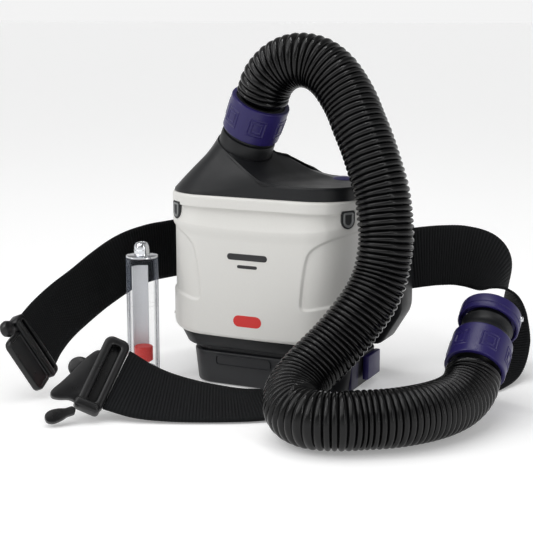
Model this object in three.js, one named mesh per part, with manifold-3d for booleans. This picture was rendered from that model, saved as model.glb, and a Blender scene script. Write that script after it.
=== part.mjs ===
// Powered air respirator: a belt-worn blower unit with its battery, breathing
// hose, waist belt and air-flow indicator. Millimetres, +Z up. The origin is on
// the battery's base, the unit's front faces -Y and the wearer's back is at +Y.
import * as THREE from 'three';
import { mergeVertices } from 'three/addons/utils/BufferGeometryUtils.js';
import { ConvexGeometry } from 'three/addons/geometries/ConvexGeometry.js';
import Module from 'manifold-3d';

const wasm = await Module();
wasm.setup();

// Driving dimensions of the blower unit
const GAP = 0.3; // clearance between neighbouring pieces
const WALL = 2.5; // moulded wall
const HALF_WIDTH = 80; // unit, side to side
const FRONT_FLAT = 42; // half width of the flat middle of the front
const FRONT_Y = -55;
const SHOULDER_Y = -20; // where the rounded front corners end
const BACK_Y = 50;
const BACK_CORNER = 20;
const SKIRT_LOW = 30.6;
const SHELL_LOW = 41.7; // lower edge of cover and housing
const SHELL_TOP = 153;
const DECK_TOP = 163;
const COVER_BACK_Y = -19; // parting line between cover and housing

// Battery
const BATTERY = { left: -60, right: 75, front: -45, back: 40, corner: 20 };
const BATTERY_TOP = 27;
const LID_THICK = 3;
const PLUG = { left: -46, right: 56, front: -10, back: 28, corner: 8 }; // plugs up into the unit
const PLUG_TOP = 50;
const CELL_RADIUS = 9;
const CELL_LENGTH = 65;
const CELL_PITCH = 20;
const CELL_COUNT = 4;

// Air outlet and breathing hose
const HOSE_DIAMETER = 41;
const COLLAR_RADIUS = 22.5;
const NECK_BASE = new THREE.Vector3(-20.5, -17.3, 187.9);
const NECK_AXIS = new THREE.Vector3(0.42, -0.19, 0.887).normalize();
const END_AXIS = new THREE.Vector3(-0.02, 0.83, 0.56).normalize();
const HOSE_ROUTE = [
  [-1.6, -25.9, 227.8], [4.3, -28.5, 240.3], [15, -29, 251], [29, -29, 256], [44, -28, 254],
  [57, -29, 246], [67, -31, 235], [75, -34, 224], [82, -38, 212], [90, -42, 198],
  [98, -46, 181], [105, -49, 163], [109, -52, 144], [111, -55, 126], [109, -60, 104],
  [104, -68, 87], [96, -78, 72], [87, -89, 58], [78, -102, 46], [71, -117, 35],
  [71, -133, 27], [80, -147, 22], [96, -154, 21], [113, -150, 21], [127, -141, 21],
  [140, -132, 21], [151, -121, 21], [162, -105, 21], [170, -88, 21.5], [175, -72, 23.5],
  [177.3, -58, 28.2], [177, -48, 35],
];

// Waist belt: each row is a centre point and the direction of the upper edge
const BELT_WIDTH = 50;
const BELT_THICK = 2.2;
const LEFT_BELT = [
  [-80, 60, 92, 0, 0, 1], [-98, 60, 91, 0, 0, 1], [-113, 50, 90, 0, 0, 1], [-123, 36, 89, 0, 0, 1],
  [-131, 18, 88, 0, 0, 1], [-140, -4, 83.5, -0.05, -0.08, 1], [-150, -28, 72.5, -0.1, -0.25, 0.97],
  [-155, -52, 62.5, -0.1, -0.33, 0.94], [-157.5, -76, 54, -0.15, -0.36, 0.92],
  [-156.8, -98, 46, -0.23, -0.4, 0.89], [-153.5, -117, 39, -0.32, -0.42, 0.85],
];
const RIGHT_BELT = [
  [76, 60.2, 94, 0, 0, 1], [90, 60.6, 94, 0, 0, 1], [101, 68, 95, 0, 0, 1], [112, 80, 95, 0, 0, 1],
  [125, 93, 93.5, -0.03, 0.05, 1], [140, 104, 88, -0.12, 0.25, 0.95], [153, 110, 77, -0.3, 0.6, 0.75],
  [162, 110, 60, -0.5, 0.83, 0.3], [166, 104, 41, -0.62, 0.77, 0], [166, 92, 22, -0.78, 0.6, -0.08],
  [162, 72, 7, -0.9, 0.42, -0.02], [155, 46, 1.9, -0.92, 0.38, 0], [142, 14, 1.6, -0.87, 0.48, 0],
  [124, -18, 1.6, -0.8, 0.6, 0], [101, -45, 1.6, -0.7, 0.7, 0], [72, -69, 2, -0.57, 0.82, 0.02],
  [40, -87, 5.2, -0.44, 0.88, 0.12], [17, -103, 6.4, -0.44, 0.88, 0.18], [-8, -117, 9.2, -0.42, 0.86, 0.3],
  [-30, -128, 13, -0.36, 0.82, 0.44], [-49, -137, 18.6, -0.25, 0.74, 0.6],
  [-65.3, -143.4, 26, -0.12, 0.62, 0.72],
];

// Air-flow indicator tube that stands beside the unit
const INDICATOR = { x: -91, y: -60, radius: 12.8, height: 101 };

// Impeller and fan case turn about a line along Y
const FAN_X = 0;
const FAN_Z = 97;
const FAN_RADIUS = 36;
const BLADE_COUNT = 12;

// ---------------------------------------------------------------- solids

/** Closed manifold solid of a three.js geometry. */
function solid(geometry, transform) {
  const source = geometry.clone();
  source.deleteAttribute('normal');
  source.deleteAttribute('uv');
  if (transform) source.applyMatrix4(transform);
  const merged = mergeVertices(source, 1e-4);
  return new wasm.Manifold(new wasm.Mesh({
    numProp: 3,
    vertProperties: Float32Array.from(merged.attributes.position.array),
    triVerts: Uint32Array.from(merged.index.array),
  }));
}

/** three.js geometry of a manifold solid. */
function geometryOf(manifold) {
  const mesh = manifold.getMesh();
  const geometry = new THREE.BufferGeometry();
  geometry.setAttribute('position', new THREE.BufferAttribute(mesh.vertProperties, 3));
  geometry.setIndex(new THREE.BufferAttribute(mesh.triVerts, 1));
  return geometry;
}

const shift = (x, y, z) => new THREE.Matrix4().makeTranslation(x, y, z);

function box(x0, x1, y0, y1, z0, z1) {
  const geometry = new THREE.BoxGeometry(x1 - x0, y1 - y0, z1 - z0);
  return solid(geometry, shift((x0 + x1) / 2, (y0 + y1) / 2, (z0 + z1) / 2));
}

/** Solid of a plan outline between two heights. */
function slab(shape, z0, z1, curveSegments = 8) {
  const geometry = new THREE.ExtrudeGeometry(shape, {
    depth: z1 - z0, bevelEnabled: false, curveSegments,
  });
  return solid(geometry, shift(0, 0, z0));
}

/** Solid turned about +Z from [radius, height] pairs, given either way round. */
function turned(pairs, segments = 28) {
  const outline = pairs.map(([r, h]) => new THREE.Vector2(r, h));
  if (THREE.ShapeUtils.area(outline) < 0) outline.reverse();
  const lathe = new THREE.LatheGeometry(outline, segments);
  return solid(lathe, new THREE.Matrix4().makeRotationX(Math.PI / 2));
}

/** Ring about +Z with a square section. */
function ring(outer, inner, z0, z1, segments = 28) {
  return turned([[inner, z0], [outer, z0], [outer, z1], [inner, z1], [inner, z0]], segments);
}

/** Solid cylinder about +Z. */
function rod(radius, z0, z1, segments = 28) {
  const geometry = new THREE.CylinderGeometry(radius, radius, z1 - z0, segments);
  const upright = new THREE.Matrix4().makeRotationX(Math.PI / 2);
  return solid(geometry, shift(0, 0, (z0 + z1) / 2).multiply(upright));
}

function moved(manifold, matrix) {
  return manifold.transform(matrix.elements);
}

function unite(list) {
  return list.reduce((whole, piece) => whole.add(piece));
}

// ------------------------------------------------------- scene graph helpers

const unit = new THREE.Group();

function material(color, roughness, metalness = 0) {
  return new THREE.MeshStandardMaterial({ color, roughness, metalness });
}

const FINISH = {
  cover: material(0xd8d7d2, 0.5),
  charcoal: material(0x2a2c2f, 0.55),
  purple: material(0x2c2360, 0.4),
  hose: material(0x0c0d0f, 0.3),
  webbing: material(0x101113, 0.85),
  battery: material(0x3c3e41, 0.6),
  seal: material(0x1a1a1a, 0.9),
  grey: material(0x8b8f92, 0.5),
  paper: material(0xe9e7dc, 0.9),
  steel: material(0xb8bcc0, 0.3, 1),
  board: material(0x1f5a36, 0.6),
  clear: material(0xdfe8ee, 0.1),
  red: material(0xc63a34, 0.5),
};

function node(name, manifold, finish, parent = unit) {
  const mesh = new THREE.Mesh(geometryOf(manifold), finish);
  mesh.name = name;
  parent.add(mesh);
  return mesh;
}

/** Group whose +Z lies along an axis and whose origin is at a point. */
function axisGroup(origin, axis) {
  const group = new THREE.Group();
  group.position.copy(origin);
  group.quaternion.setFromUnitVectors(new THREE.Vector3(0, 0, 1), axis);
  unit.add(group);
  return group;
}

// ------------------------------------------------------------------ outlines

/** Plan outline of the unit, moved inwards by inset. */
function unitPlan(inset = 0) {
  const half = HALF_WIDTH - inset;
  const front = FRONT_Y + inset;
  const back = BACK_Y - inset;
  const corner = BACK_CORNER - inset;
  const reachX = half - FRONT_FLAT;
  const reachY = SHOULDER_Y - front;
  const plan = new THREE.Shape();
  plan.moveTo(-FRONT_FLAT, front);
  plan.lineTo(FRONT_FLAT, front);
  plan.absellipse(FRONT_FLAT, SHOULDER_Y, reachX, reachY, -Math.PI / 2, 0, false);
  plan.lineTo(half, back - corner);
  plan.absarc(half - corner, back - corner, corner, 0, Math.PI / 2, false);
  plan.lineTo(-half + corner, back);
  plan.absarc(-half + corner, back - corner, corner, Math.PI / 2, Math.PI, false);
  plan.lineTo(-half, SHOULDER_Y);
  plan.absellipse(-FRONT_FLAT, SHOULDER_Y, reachX, reachY, Math.PI, 1.5 * Math.PI, false);
  return plan;
}

/** Rectangle with rounded corners. */
function roundedPlan(x0, x1, y0, y1, r) {
  const plan = new THREE.Shape();
  plan.moveTo(x0 + r, y0);
  plan.lineTo(x1 - r, y0);
  plan.absarc(x1 - r, y0 + r, r, -Math.PI / 2, 0, false);
  plan.lineTo(x1, y1 - r);
  plan.absarc(x1 - r, y1 - r, r, 0, Math.PI / 2, false);
  plan.lineTo(x0 + r, y1);
  plan.absarc(x0 + r, y1 - r, r, Math.PI / 2, Math.PI, false);
  plan.lineTo(x0, y0 + r);
  plan.absarc(x0 + r, y0 + r, r, Math.PI, 1.5 * Math.PI, false);
  return plan;
}

function batteryPlan(inset) {
  const { left, right, front, back, corner } = BATTERY;
  return roundedPlan(left + inset, right - inset, front + inset, back - inset, corner - inset);
}

/** Outline of the part that plugs up into the unit, grown or shrunk. */
function plugPlan(grow) {
  const { left, right, front, back, corner } = PLUG;
  return roundedPlan(left - grow, right + grow, front - grow, back + grow, corner + grow);
}

// -------------------------------------------------------------- battery pack

const LATCH = { front: -2, back: 34, low: 6, high: 25, out: 4.5 };

function addBattery() {
  const outer = slab(batteryPlan(0), 0, BATTERY_TOP, 6);
  const hollow = slab(batteryPlan(WALL), WALL, BATTERY_TOP + 1, 6);
  const ledge = box(-32, 12, BATTERY.front - 1, BATTERY.front + 1.2, 18, 24);
  const pocket = box(
    BATTERY.right - 2, BATTERY.right + 1,
    LATCH.front - GAP, LATCH.back + GAP, LATCH.low - GAP, LATCH.high + GAP,
  );
  node('battery_case', outer.subtract(hollow).subtract(ledge).subtract(pocket), FINISH.battery);

  const lidLow = BATTERY_TOP + GAP;
  const plug = slab(plugPlan(0), lidLow + 1, PLUG_TOP, 4);
  const bay = slab(plugPlan(-3), lidLow - 1, PLUG_TOP - WALL, 4);
  const plate = slab(batteryPlan(4), lidLow, lidLow + LID_THICK, 6);
  const contactWindow = box(-10, 20, 0, 16, PLUG_TOP - 5, PLUG_TOP + 5);
  node('battery_lid', plate.add(plug).subtract(bay).subtract(contactWindow), FINISH.charcoal);

  for (let i = 0; i < CELL_COUNT; i += 1) {
    const lay = new THREE.Matrix4().makeRotationX(Math.PI / 2);
    const place = shift(-44 + i * CELL_PITCH, CELL_LENGTH / 2 - 2, WALL + CELL_RADIUS + 1);
    const cell = moved(rod(CELL_RADIUS, 0, CELL_LENGTH, 16), place.multiply(lay));
    node(`battery_cell_${i + 1}`, cell, FINISH.steel);
  }
  node('battery_board', box(30, 62, -30, 28, 10, 11.6), FINISH.board);
  node('battery_contacts', box(-9, 19, 1, 15, 36, 46), FINISH.steel);

  const side = BATTERY.right - 0.4;
  const tab = box(side, BATTERY.right + LATCH.out, LATCH.front, LATCH.back, LATCH.low, LATCH.high);
  const grip = box(
    BATTERY.right + LATCH.out - 1.2, BATTERY.right + LATCH.out + 1,
    LATCH.front + 6, LATCH.back - 6, LATCH.low + 5, LATCH.low + 8,
  );
  node('battery_latch', tab.subtract(grip), FINISH.purple);
}

// -------------------------------------------------------------- unit housing

function skirtPlug() {
  return slab(plugPlan(0.6), SKIRT_LOW - 1, PLUG_TOP + 5, 4);
}

function addHousing() {
  const behind = box(-200, 200, COVER_BACK_Y, 200, 0, 300);
  const shell = slab(unitPlan(0), SHELL_LOW + GAP, SHELL_TOP, 6);
  const inside = slab(unitPlan(WALL), SHELL_LOW + GAP + WALL, SHELL_TOP + 1, 6);
  const frontOpen = box(-HALF_WIDTH + 9, HALF_WIDTH - 9, -60, COVER_BACK_Y + 6, 45, 200);
  const housing = shell.subtract(inside).intersect(behind).subtract(frontOpen);
  node('rear_housing', housing.subtract(skirtPlug()), FINISH.charcoal);

  const skirtOuter = slab(unitPlan(5), SKIRT_LOW, SHELL_LOW - GAP, 6);
  const cornerCut = box(-200, 200, -46, 200, 0, 300);
  node('lower_skirt', skirtOuter.intersect(cornerCut).subtract(skirtPlug()), FINISH.charcoal);

  const terminal = box(-8, 18, 2, 14, PLUG_TOP + 0.8, PLUG_TOP + 5);
  node('unit_contacts', terminal, FINISH.steel);
}

const NECK_RADIUS = 22;
const DUCT_RADIUS = 17;
const BUTTON = { x: 52, y: 8, radius: 11, travel: 1.5 };

/** Sloping hump from the deck up to the outlet neck, grown or shrunk by inset. */
function hump(inset) {
  const low = DECK_TOP - 6;
  const feet = [
    [-76, -30], [-76, 34], [-62, 44], [-40, -51], [-60, -46], [6, -51], [26, -20], [22, 20], [0, 42],
  ];
  const points = feet.map(([x, y]) => new THREE.Vector3(
    x - Math.sign(x + 20) * inset, y - Math.sign(y) * inset, low,
  ));
  const turn = new THREE.Quaternion().setFromUnitVectors(new THREE.Vector3(0, 0, 1), NECK_AXIS);
  for (let i = 0; i < 24; i += 1) {
    const angle = (i * Math.PI) / 12;
    const rim = new THREE.Vector3(Math.cos(angle), Math.sin(angle), 0);
    rim.multiplyScalar(NECK_RADIUS - inset).applyQuaternion(turn);
    points.push(rim.add(NECK_BASE));
  }
  return solid(new ConvexGeometry(points));
}

function alongNeck(manifold) {
  const group = new THREE.Matrix4().compose(
    NECK_BASE,
    new THREE.Quaternion().setFromUnitVectors(new THREE.Vector3(0, 0, 1), NECK_AXIS),
    new THREE.Vector3(1, 1, 1),
  );
  return moved(manifold, group);
}

function addTop() {
  const low = SHELL_TOP + GAP;
  const deck = slab(unitPlan(1.5), low, DECK_TOP, 6);
  const hollow = slab(unitPlan(1.5 + WALL), low - 1, DECK_TOP - WALL, 6);
  const duct = alongNeck(rod(DUCT_RADIUS, -60, 10));
  const well = moved(rod(BUTTON.radius + GAP, DECK_TOP - 8, DECK_TOP + 8), shift(BUTTON.x, BUTTON.y, 0));
  const top = deck.add(hump(0)).subtract(hollow).subtract(hump(WALL)).subtract(duct).subtract(well);
  node('top_housing', top, FINISH.charcoal);

  const cap = [[0, 0], [10.8, 0], [10.8, 4], [8, 5.6], [4, 6.4], [0, 6.6]];
  const button = node('power_button', turned(cap, 24), FINISH.purple);
  button.position.set(BUTTON.x, BUTTON.y, DECK_TOP - 3.6);
  const switchBody = box(46, 58, 2, 14, DECK_TOP - 12, DECK_TOP - 5.6);
  node('power_switch', switchBody, FINISH.seal);
}

// --------------------------------------------------------------- front cover

const CLIP = { z: 139, width: 10.5, height: 12.5 };
const CLIP_SPOTS = [
  { name: 'cover_clip_left', x: -66.8, y: -46.5, angle: THREE.MathUtils.degToRad(-38.5) },
  { name: 'cover_clip_right', x: 74.8, y: -37.7, angle: THREE.MathUtils.degToRad(57.6) },
];

/** Shield outline of a cover clip: flat top and rounded lower end. */
function clipShape(grow) {
  const half = CLIP.width / 2 + grow;
  const top = CLIP.height / 2 + grow;
  const shape = new THREE.Shape();
  shape.moveTo(-half, top);
  shape.lineTo(-half, -top + half);
  shape.absarc(0, -top + half, half, Math.PI, 2 * Math.PI, false);
  shape.lineTo(half, top);
  return shape;
}

function clipPlace({ x, y, angle }) {
  const facing = new THREE.Matrix4().makeRotationZ(angle);
  const upright = new THREE.Matrix4().makeRotationX(Math.PI / 2);
  return shift(x, y, CLIP.z).multiply(facing).multiply(upright);
}

/** Finger recess at a side of the cover. */
function recess(side) {
  const outline = new THREE.Shape();
  outline.moveTo(46, 70);
  outline.lineTo(90, 62);
  outline.lineTo(90, 132);
  outline.lineTo(60, 121);
  outline.lineTo(50, 108);
  const cut = new THREE.ExtrudeGeometry(outline, { depth: 80, bevelEnabled: false });
  const upright = new THREE.Matrix4().makeRotationX(Math.PI / 2);
  const mirror = new THREE.Matrix4().makeRotationZ(side < 0 ? Math.PI : 0);
  const place = side < 0 ? shift(0, -80, 0).multiply(mirror) : shift(0, 0, 0);
  return solid(cut, place.multiply(upright));
}

function addCover() {
  const infront = box(-200, 200, -200, COVER_BACK_Y - GAP, 0, 300);
  const outer = slab(unitPlan(0), SHELL_LOW, SHELL_TOP, 8);
  const core = slab(unitPlan(1.6), SHELL_LOW, SHELL_TOP, 8);
  const hollow = slab(unitPlan(WALL + 1.6), SHELL_LOW + WALL, SHELL_TOP - WALL, 8);
  const band = outer.subtract(core);
  const grooved = band.subtract(slab(unitPlan(-1), 128, 143, 8));
  let cover = core.add(grooved.subtract(recess(1)).subtract(recess(-1)));
  cover = cover.intersect(infront).subtract(hollow);
  for (const spot of CLIP_SPOTS) {
    const hole = new THREE.ExtrudeGeometry(clipShape(0.4), { depth: 14, bevelEnabled: false });
    cover = cover.subtract(solid(hole, clipPlace(spot).multiply(shift(0, 0, -7))));
  }
  node('front_cover', cover, FINISH.cover);
}

function addClips() {
  for (const spot of CLIP_SPOTS) {
    const tab = new THREE.ExtrudeGeometry(clipShape(0), { depth: 5, bevelEnabled: false });
    node(spot.name, solid(tab, clipPlace(spot).multiply(shift(0, 0, -3.2))), FINISH.grey);
  }
}

// ------------------------------------------------------------ filter and fan

const FILTER = { halfX: 58, low: 54, high: 140, front: -46, back: -24 };

function addFilter() {
  const { halfX, low, high, front, back } = FILTER;
  const frame = box(-halfX, halfX, front, back, low, high);
  const opening = box(-halfX + 4, halfX - 4, front - 1, back + 1, low + 4, high - 4);
  node('filter_frame', frame.subtract(opening), FINISH.charcoal);

  const pleatCount = 14;
  const media = new THREE.Shape();
  const halfMedia = halfX - 4 - GAP;
  const pitch = (2 * halfMedia) / pleatCount;
  media.moveTo(-halfMedia, front + 7);
  for (let i = 0; i < pleatCount; i += 1) {
    media.lineTo(-halfMedia + (i + 0.5) * pitch, front + 2);
    media.lineTo(-halfMedia + (i + 1) * pitch, front + 7);
  }
  media.lineTo(halfMedia, back - 7);
  for (let i = pleatCount - 1; i >= 0; i -= 1) {
    media.lineTo(-halfMedia + (i + 0.5) * pitch, back - 2);
    media.lineTo(-halfMedia + i * pitch, back - 7);
  }
  node('filter_media', slab(media, low + 4 + GAP, high - 4 - GAP), FINISH.paper);

  const sealOuter = box(-halfX, halfX, back + GAP, back + 4, low, high);
  const sealInner = box(-halfX + 5, halfX - 5, back - 1, back + 5, low + 5, high - 5);
  node('filter_seal', sealOuter.subtract(sealInner), FINISH.seal);
}

/** Matrix that turns +Z to +Y at the fan's axis. */
function fanPlace() {
  return shift(FAN_X, 0, FAN_Z).multiply(new THREE.Matrix4().makeRotationX(-Math.PI / 2));
}

function addFan() {
  const caseOuter = 41;
  const caseInner = 38.5;
  const cup = turned([
    [2.6, 42], [caseOuter, 42], [caseOuter, 4], [caseInner, 4], [caseInner, 39.6], [2.6, 39.6], [2.6, 42],
  ], 32);
  const exhaust = box(-34, -10, -38, -8, 8, 34);
  node('fan_case', moved(cup.subtract(exhaust), fanPlace()), FINISH.charcoal);
  node('fan_inlet_plate', moved(ring(caseOuter, 20, 0.5, 3.7, 32), fanPlace()), FINISH.charcoal);
  node('fan_motor', moved(ring(14, 2.6, 26, 39.2, 24), fanPlace()), FINISH.steel);

  let wheel = turned([[2.3, 10], [8, 10], [8, 20], [FAN_RADIUS, 20], [FAN_RADIUS, 22], [2.3, 22], [2.3, 10]], 24);
  for (let i = 0; i < BLADE_COUNT; i += 1) {
    const blade = box(15, FAN_RADIUS - 1, -0.7, 0.7, 7, 21);
    const sweep = new THREE.Matrix4().makeRotationZ((i * 2 * Math.PI) / BLADE_COUNT);
    const lean = new THREE.Matrix4().makeRotationZ(0.35);
    wheel = wheel.add(moved(blade, sweep.multiply(shift(25, 0, 0)).multiply(lean).multiply(shift(-25, 0, 0))));
  }
  node('impeller', moved(wheel, fanPlace()), FINISH.grey);
  node('motor_shaft', moved(rod(2, 9, 38.5, 16), fanPlace()), FINISH.steel);
  node('control_board', box(-73, -45, 20, 21.6, 62, 132), FINISH.board);
  const buzzer = moved(rod(8, 0, 6, 20), shift(-59, 28.2, 112).multiply(
    new THREE.Matrix4().makeRotationX(Math.PI / 2),
  ));
  node('alarm_buzzer', buzzer, FINISH.seal);
}

// --------------------------------------------------- outlet, hose and fittings

/** Collar with a ribbed grip: a ring with shallow square panels cut in. */
function gripCollar(length, bore) {
  const panel = 12;
  const panels = [];
  for (let i = 0; i < 6; i += 1) {
    const cut = box(COLLAR_RADIUS - 0.7, COLLAR_RADIUS + 2, -panel / 2, panel / 2, 7, length - 7);
    panels.push(moved(cut, new THREE.Matrix4().makeRotationZ((i * Math.PI) / 3)));
  }
  return ring(COLLAR_RADIUS, bore, 0, length, 32).subtract(unite(panels));
}

function addOutlet() {
  const neckGroup = axisGroup(NECK_BASE, NECK_AXIS);
  const neck = turned([
    [DUCT_RADIUS, 0.6], [21.4, 0.6], [21.4, 13], [19, 13], [19, 29], [DUCT_RADIUS, 29], [DUCT_RADIUS, 0.6],
  ]);
  node('outlet_neck', neck, FINISH.charcoal, neckGroup);
  const collar = node('outlet_collar', gripCollar(28, 19.4), FINISH.purple, neckGroup);
  collar.position.z = 14;
  node('hose_cuff_top', ring(18.9, 16.5, 30, 41.5), FINISH.seal, neckGroup);
}

function addHose() {
  const route = new THREE.CatmullRomCurve3(HOSE_ROUTE.map((p) => new THREE.Vector3(...p)));
  const section = new THREE.Shape();
  section.absarc(0, 0, HOSE_DIAMETER / 2, 0, 2 * Math.PI, false);
  const tube = new THREE.ExtrudeGeometry(section, {
    steps: 64, bevelEnabled: false, extrudePath: route, curveSegments: 12,
  });
  node('breathing_hose', solid(tube), FINISH.hose);
}

function addHoseEnd() {
  const last = new THREE.Vector3(...HOSE_ROUTE[HOSE_ROUTE.length - 1]);
  const end = axisGroup(last, END_AXIS);
  const collar = node('end_collar', gripCollar(28, 19.4), FINISH.purple, end);
  collar.position.z = 3;
  const spigot = turned([
    [15.8, 6], [18.9, 6], [18.9, 31.6], [20, 31.6], [20, 46], [17.4, 46], [17.4, 57], [15.8, 57],
    [15.8, 6],
  ]);
  node('end_spigot', spigot, FINISH.charcoal, end);
  const rim = turned([
    [17.8, 46.6], [23, 46.6], [23, 49], [22.2, 49.6], [22.2, 60], [23, 60.6], [23, 64], [19, 64],
    [19, 52], [17.8, 52], [17.8, 46.6],
  ], 32);
  node('coupling_ring', rim, FINISH.purple, end);
  const pin = node('coupling_pin', rod(2, 0.3, 4.2, 12), FINISH.steel, end);
  pin.position.set(22.2, 0, 57);
  pin.rotation.y = Math.PI / 2;
}

// ----------------------------------------------------------------- waist belt

/** Curves through a belt's centre points and through its upper-edge directions. */
function beltCurves(rows) {
  const centre = new THREE.CatmullRomCurve3(rows.map((r) => new THREE.Vector3(r[0], r[1], r[2])));
  const upper = new THREE.CatmullRomCurve3(rows.map((r) => new THREE.Vector3(r[3], r[4], r[5])));
  return { centre, upper };
}

/** Frame of a belt at t: along it, towards its upper edge, and out of its face. */
function beltFrame({ centre, upper }, t) {
  const along = centre.getTangent(t);
  const across = upper.getPoint(t);
  across.addScaledVector(along, -across.dot(along)).normalize();
  const out = new THREE.Vector3().crossVectors(along, across);
  return { point: centre.getPoint(t), along, across, out };
}

/** A long box bent along a belt's route. */
function beltSolid(rows, steps) {
  const curves = beltCurves(rows);
  const geometry = new THREE.BoxGeometry(1, BELT_WIDTH, BELT_THICK, steps, 1, 1);
  const position = geometry.attributes.position;
  for (let i = 0; i < position.count; i += 1) {
    const frame = beltFrame(curves, Math.min(1, Math.max(0, position.getX(i) + 0.5)));
    const at = frame.point.clone();
    at.addScaledVector(frame.across, position.getY(i));
    at.addScaledVector(frame.out, position.getZ(i));
    position.setXYZ(i, at.x, at.y, at.z);
  }
  return solid(geometry);
}

/** Group at a belt's end: +X on past the end, +Y towards the upper edge. */
function beltEndGroup(rows) {
  const frame = beltFrame(beltCurves(rows), 1);
  const group = new THREE.Group();
  const turn = new THREE.Matrix4().makeBasis(frame.along, frame.across, frame.out);
  group.position.copy(frame.point);
  group.quaternion.setFromRotationMatrix(turn);
  unit.add(group);
  return group;
}

function addBelt() {
  node('belt_left', beltSolid(LEFT_BELT, 26), FINISH.webbing);
  node('belt_right', beltSolid(RIGHT_BELT, 64), FINISH.webbing);
}

const CARRIER = { half: 95, front: 28, back: 58, low: 27, high: 126, chamferX: 17, chamferZ: 28 };

function addBeltCarrier() {
  const { half, front, back, low, high, chamferX, chamferZ } = CARRIER;
  const face = new THREE.Shape();
  face.moveTo(-half + chamferX, low);
  face.lineTo(half - chamferX, low);
  face.lineTo(half, low + chamferZ);
  face.lineTo(half, high - 10);
  face.lineTo(half - 10, high);
  face.lineTo(-half + 10, high);
  face.lineTo(-half, high - 10);
  face.lineTo(-half, low + chamferZ);
  const upright = new THREE.Matrix4().makeRotationX(Math.PI / 2);
  const bulk = solid(
    new THREE.ExtrudeGeometry(face, { depth: back - front, bevelEnabled: false }),
    shift(0, back, 0).multiply(upright),
  );
  const room = slab(unitPlan(-GAP), SKIRT_LOW - 1, 300, 6);
  const batteryRoom = box(-66, 81, -100, BATTERY.back + 2, 0, SKIRT_LOW + 1);
  node('belt_carrier', bulk.subtract(room).subtract(batteryRoom), FINISH.charcoal);
  for (const side of [-1, 1]) {
    const keeper = box(side * 83 - 5, side * 83 + 5, back + GAP, back + 6, 61, 126);
    const beltRoom = box(side * 83 - 6, side * 83 + 6, back, back + 4, 65, 121);
    const name = side < 0 ? 'belt_keeper_left' : 'belt_keeper_right';
    node(name, keeper.subtract(beltRoom), FINISH.charcoal);
  }

  const pad = solid(
    new THREE.ExtrudeGeometry(roundedPlan(-70, 70, 45, 118, 14), {
      depth: 6, bevelEnabled: false, curveSegments: 4,
    }),
    shift(0, back + 6 + GAP, 0).multiply(upright),
  );
  node('back_pad', pad, FINISH.seal);
}

function addBuckles() {
  const plate = (x0, x1, y0, y1, halfZ, r) => {
    const geometry = new THREE.ExtrudeGeometry(roundedPlan(x0, x1, y0, y1, r), {
      depth: 2 * halfZ, bevelEnabled: false, curveSegments: 4,
    });
    return solid(geometry, shift(0, 0, -halfZ));
  };
  const left = beltEndGroup(LEFT_BELT);
  const bar = plate(0.5, 14, -28, 28, 4.5, 4);
  const barSlot = box(4, 7, -24.5, 24.5, -6, 6);
  const socket = plate(12, 33, -26.5, 20.2, 3, 6);
  const mouth = box(22, 40, -20, 14, -1.2, 1.2);
  node('left_buckle', bar.add(socket).subtract(barSlot).subtract(mouth), FINISH.charcoal, left);
  const knob = node('left_buckle_release', rod(6.5, -2.6, 2.6, 20), FINISH.charcoal, left);
  knob.position.set(21.2, 27.2, 0);

  const right = beltEndGroup(RIGHT_BELT);
  const frame = plate(0.5, 20, -30, 30, 4, 6);
  const frameSlot = box(7.5, 13, -24, 24, -6, 6);
  const tongue = plate(17, 36, -28, 13, 3.2, 6);
  node('right_buckle', frame.add(tongue).subtract(frameSlot), FINISH.charcoal, right);
  const lever = plate(0, 20, -4.4, 4.4, 2.6, 4.2);
  const prong = node('right_buckle_lever', lever, FINISH.charcoal, right);
  prong.position.set(19, -35.2, 0);
  prong.rotation.z = -0.75;
}

// --------------------------------------------------------- air-flow indicator

function addIndicator() {
  const stand = new THREE.Group();
  stand.position.set(INDICATOR.x, INDICATOR.y, 0);
  unit.add(stand);
  const { radius, height } = INDICATOR;
  node('indicator_base', turned([
    [0, 0.2], [radius, 0.2], [radius, 6], [9.6, 6], [9.6, 12], [0, 12],
  ], 24), FINISH.clear, stand);
  node('indicator_tube', ring(radius, 10.2, 6 + GAP, height, 24), FINISH.clear, stand);
  node('indicator_scale', ring(9.6, 8.8, 13, height - 8, 24), FINISH.paper, stand);
  node('indicator_cap', turned([
    [0, height + GAP], [radius, height + GAP], [radius, height + 2], [6.4, height + 2.4],
    [6.4, height + 9], [4.6, height + 12], [0, height + 12.8],
  ], 24), FINISH.steel, stand);
  const float = turned([[0, 16], [5, 16], [7.4, 18], [7.4, 28], [0, 29]], 20);
  node('indicator_float', float, FINISH.red, stand);
}

addBattery();
addHousing();
addTop();
addCover();
addClips();
addFilter();
addFan();
addOutlet();
addHose();
addHoseEnd();
addBelt();
addBeltCarrier();
addBuckles();
addIndicator();

export default unit;
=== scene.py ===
# %% [markdown]
# # Powered air respirator
# A blower unit that is worn on a belt: its battery, its filter cover, a corrugated breathing hose
# and a small airflow indicator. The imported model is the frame: it fixes where everything is and
# what moves. This lesson makes the skin that goes round it, piece by piece.

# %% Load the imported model
import math

import bmesh
import bpy
import numpy as np
from mathutils import Matrix, Vector


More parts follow.
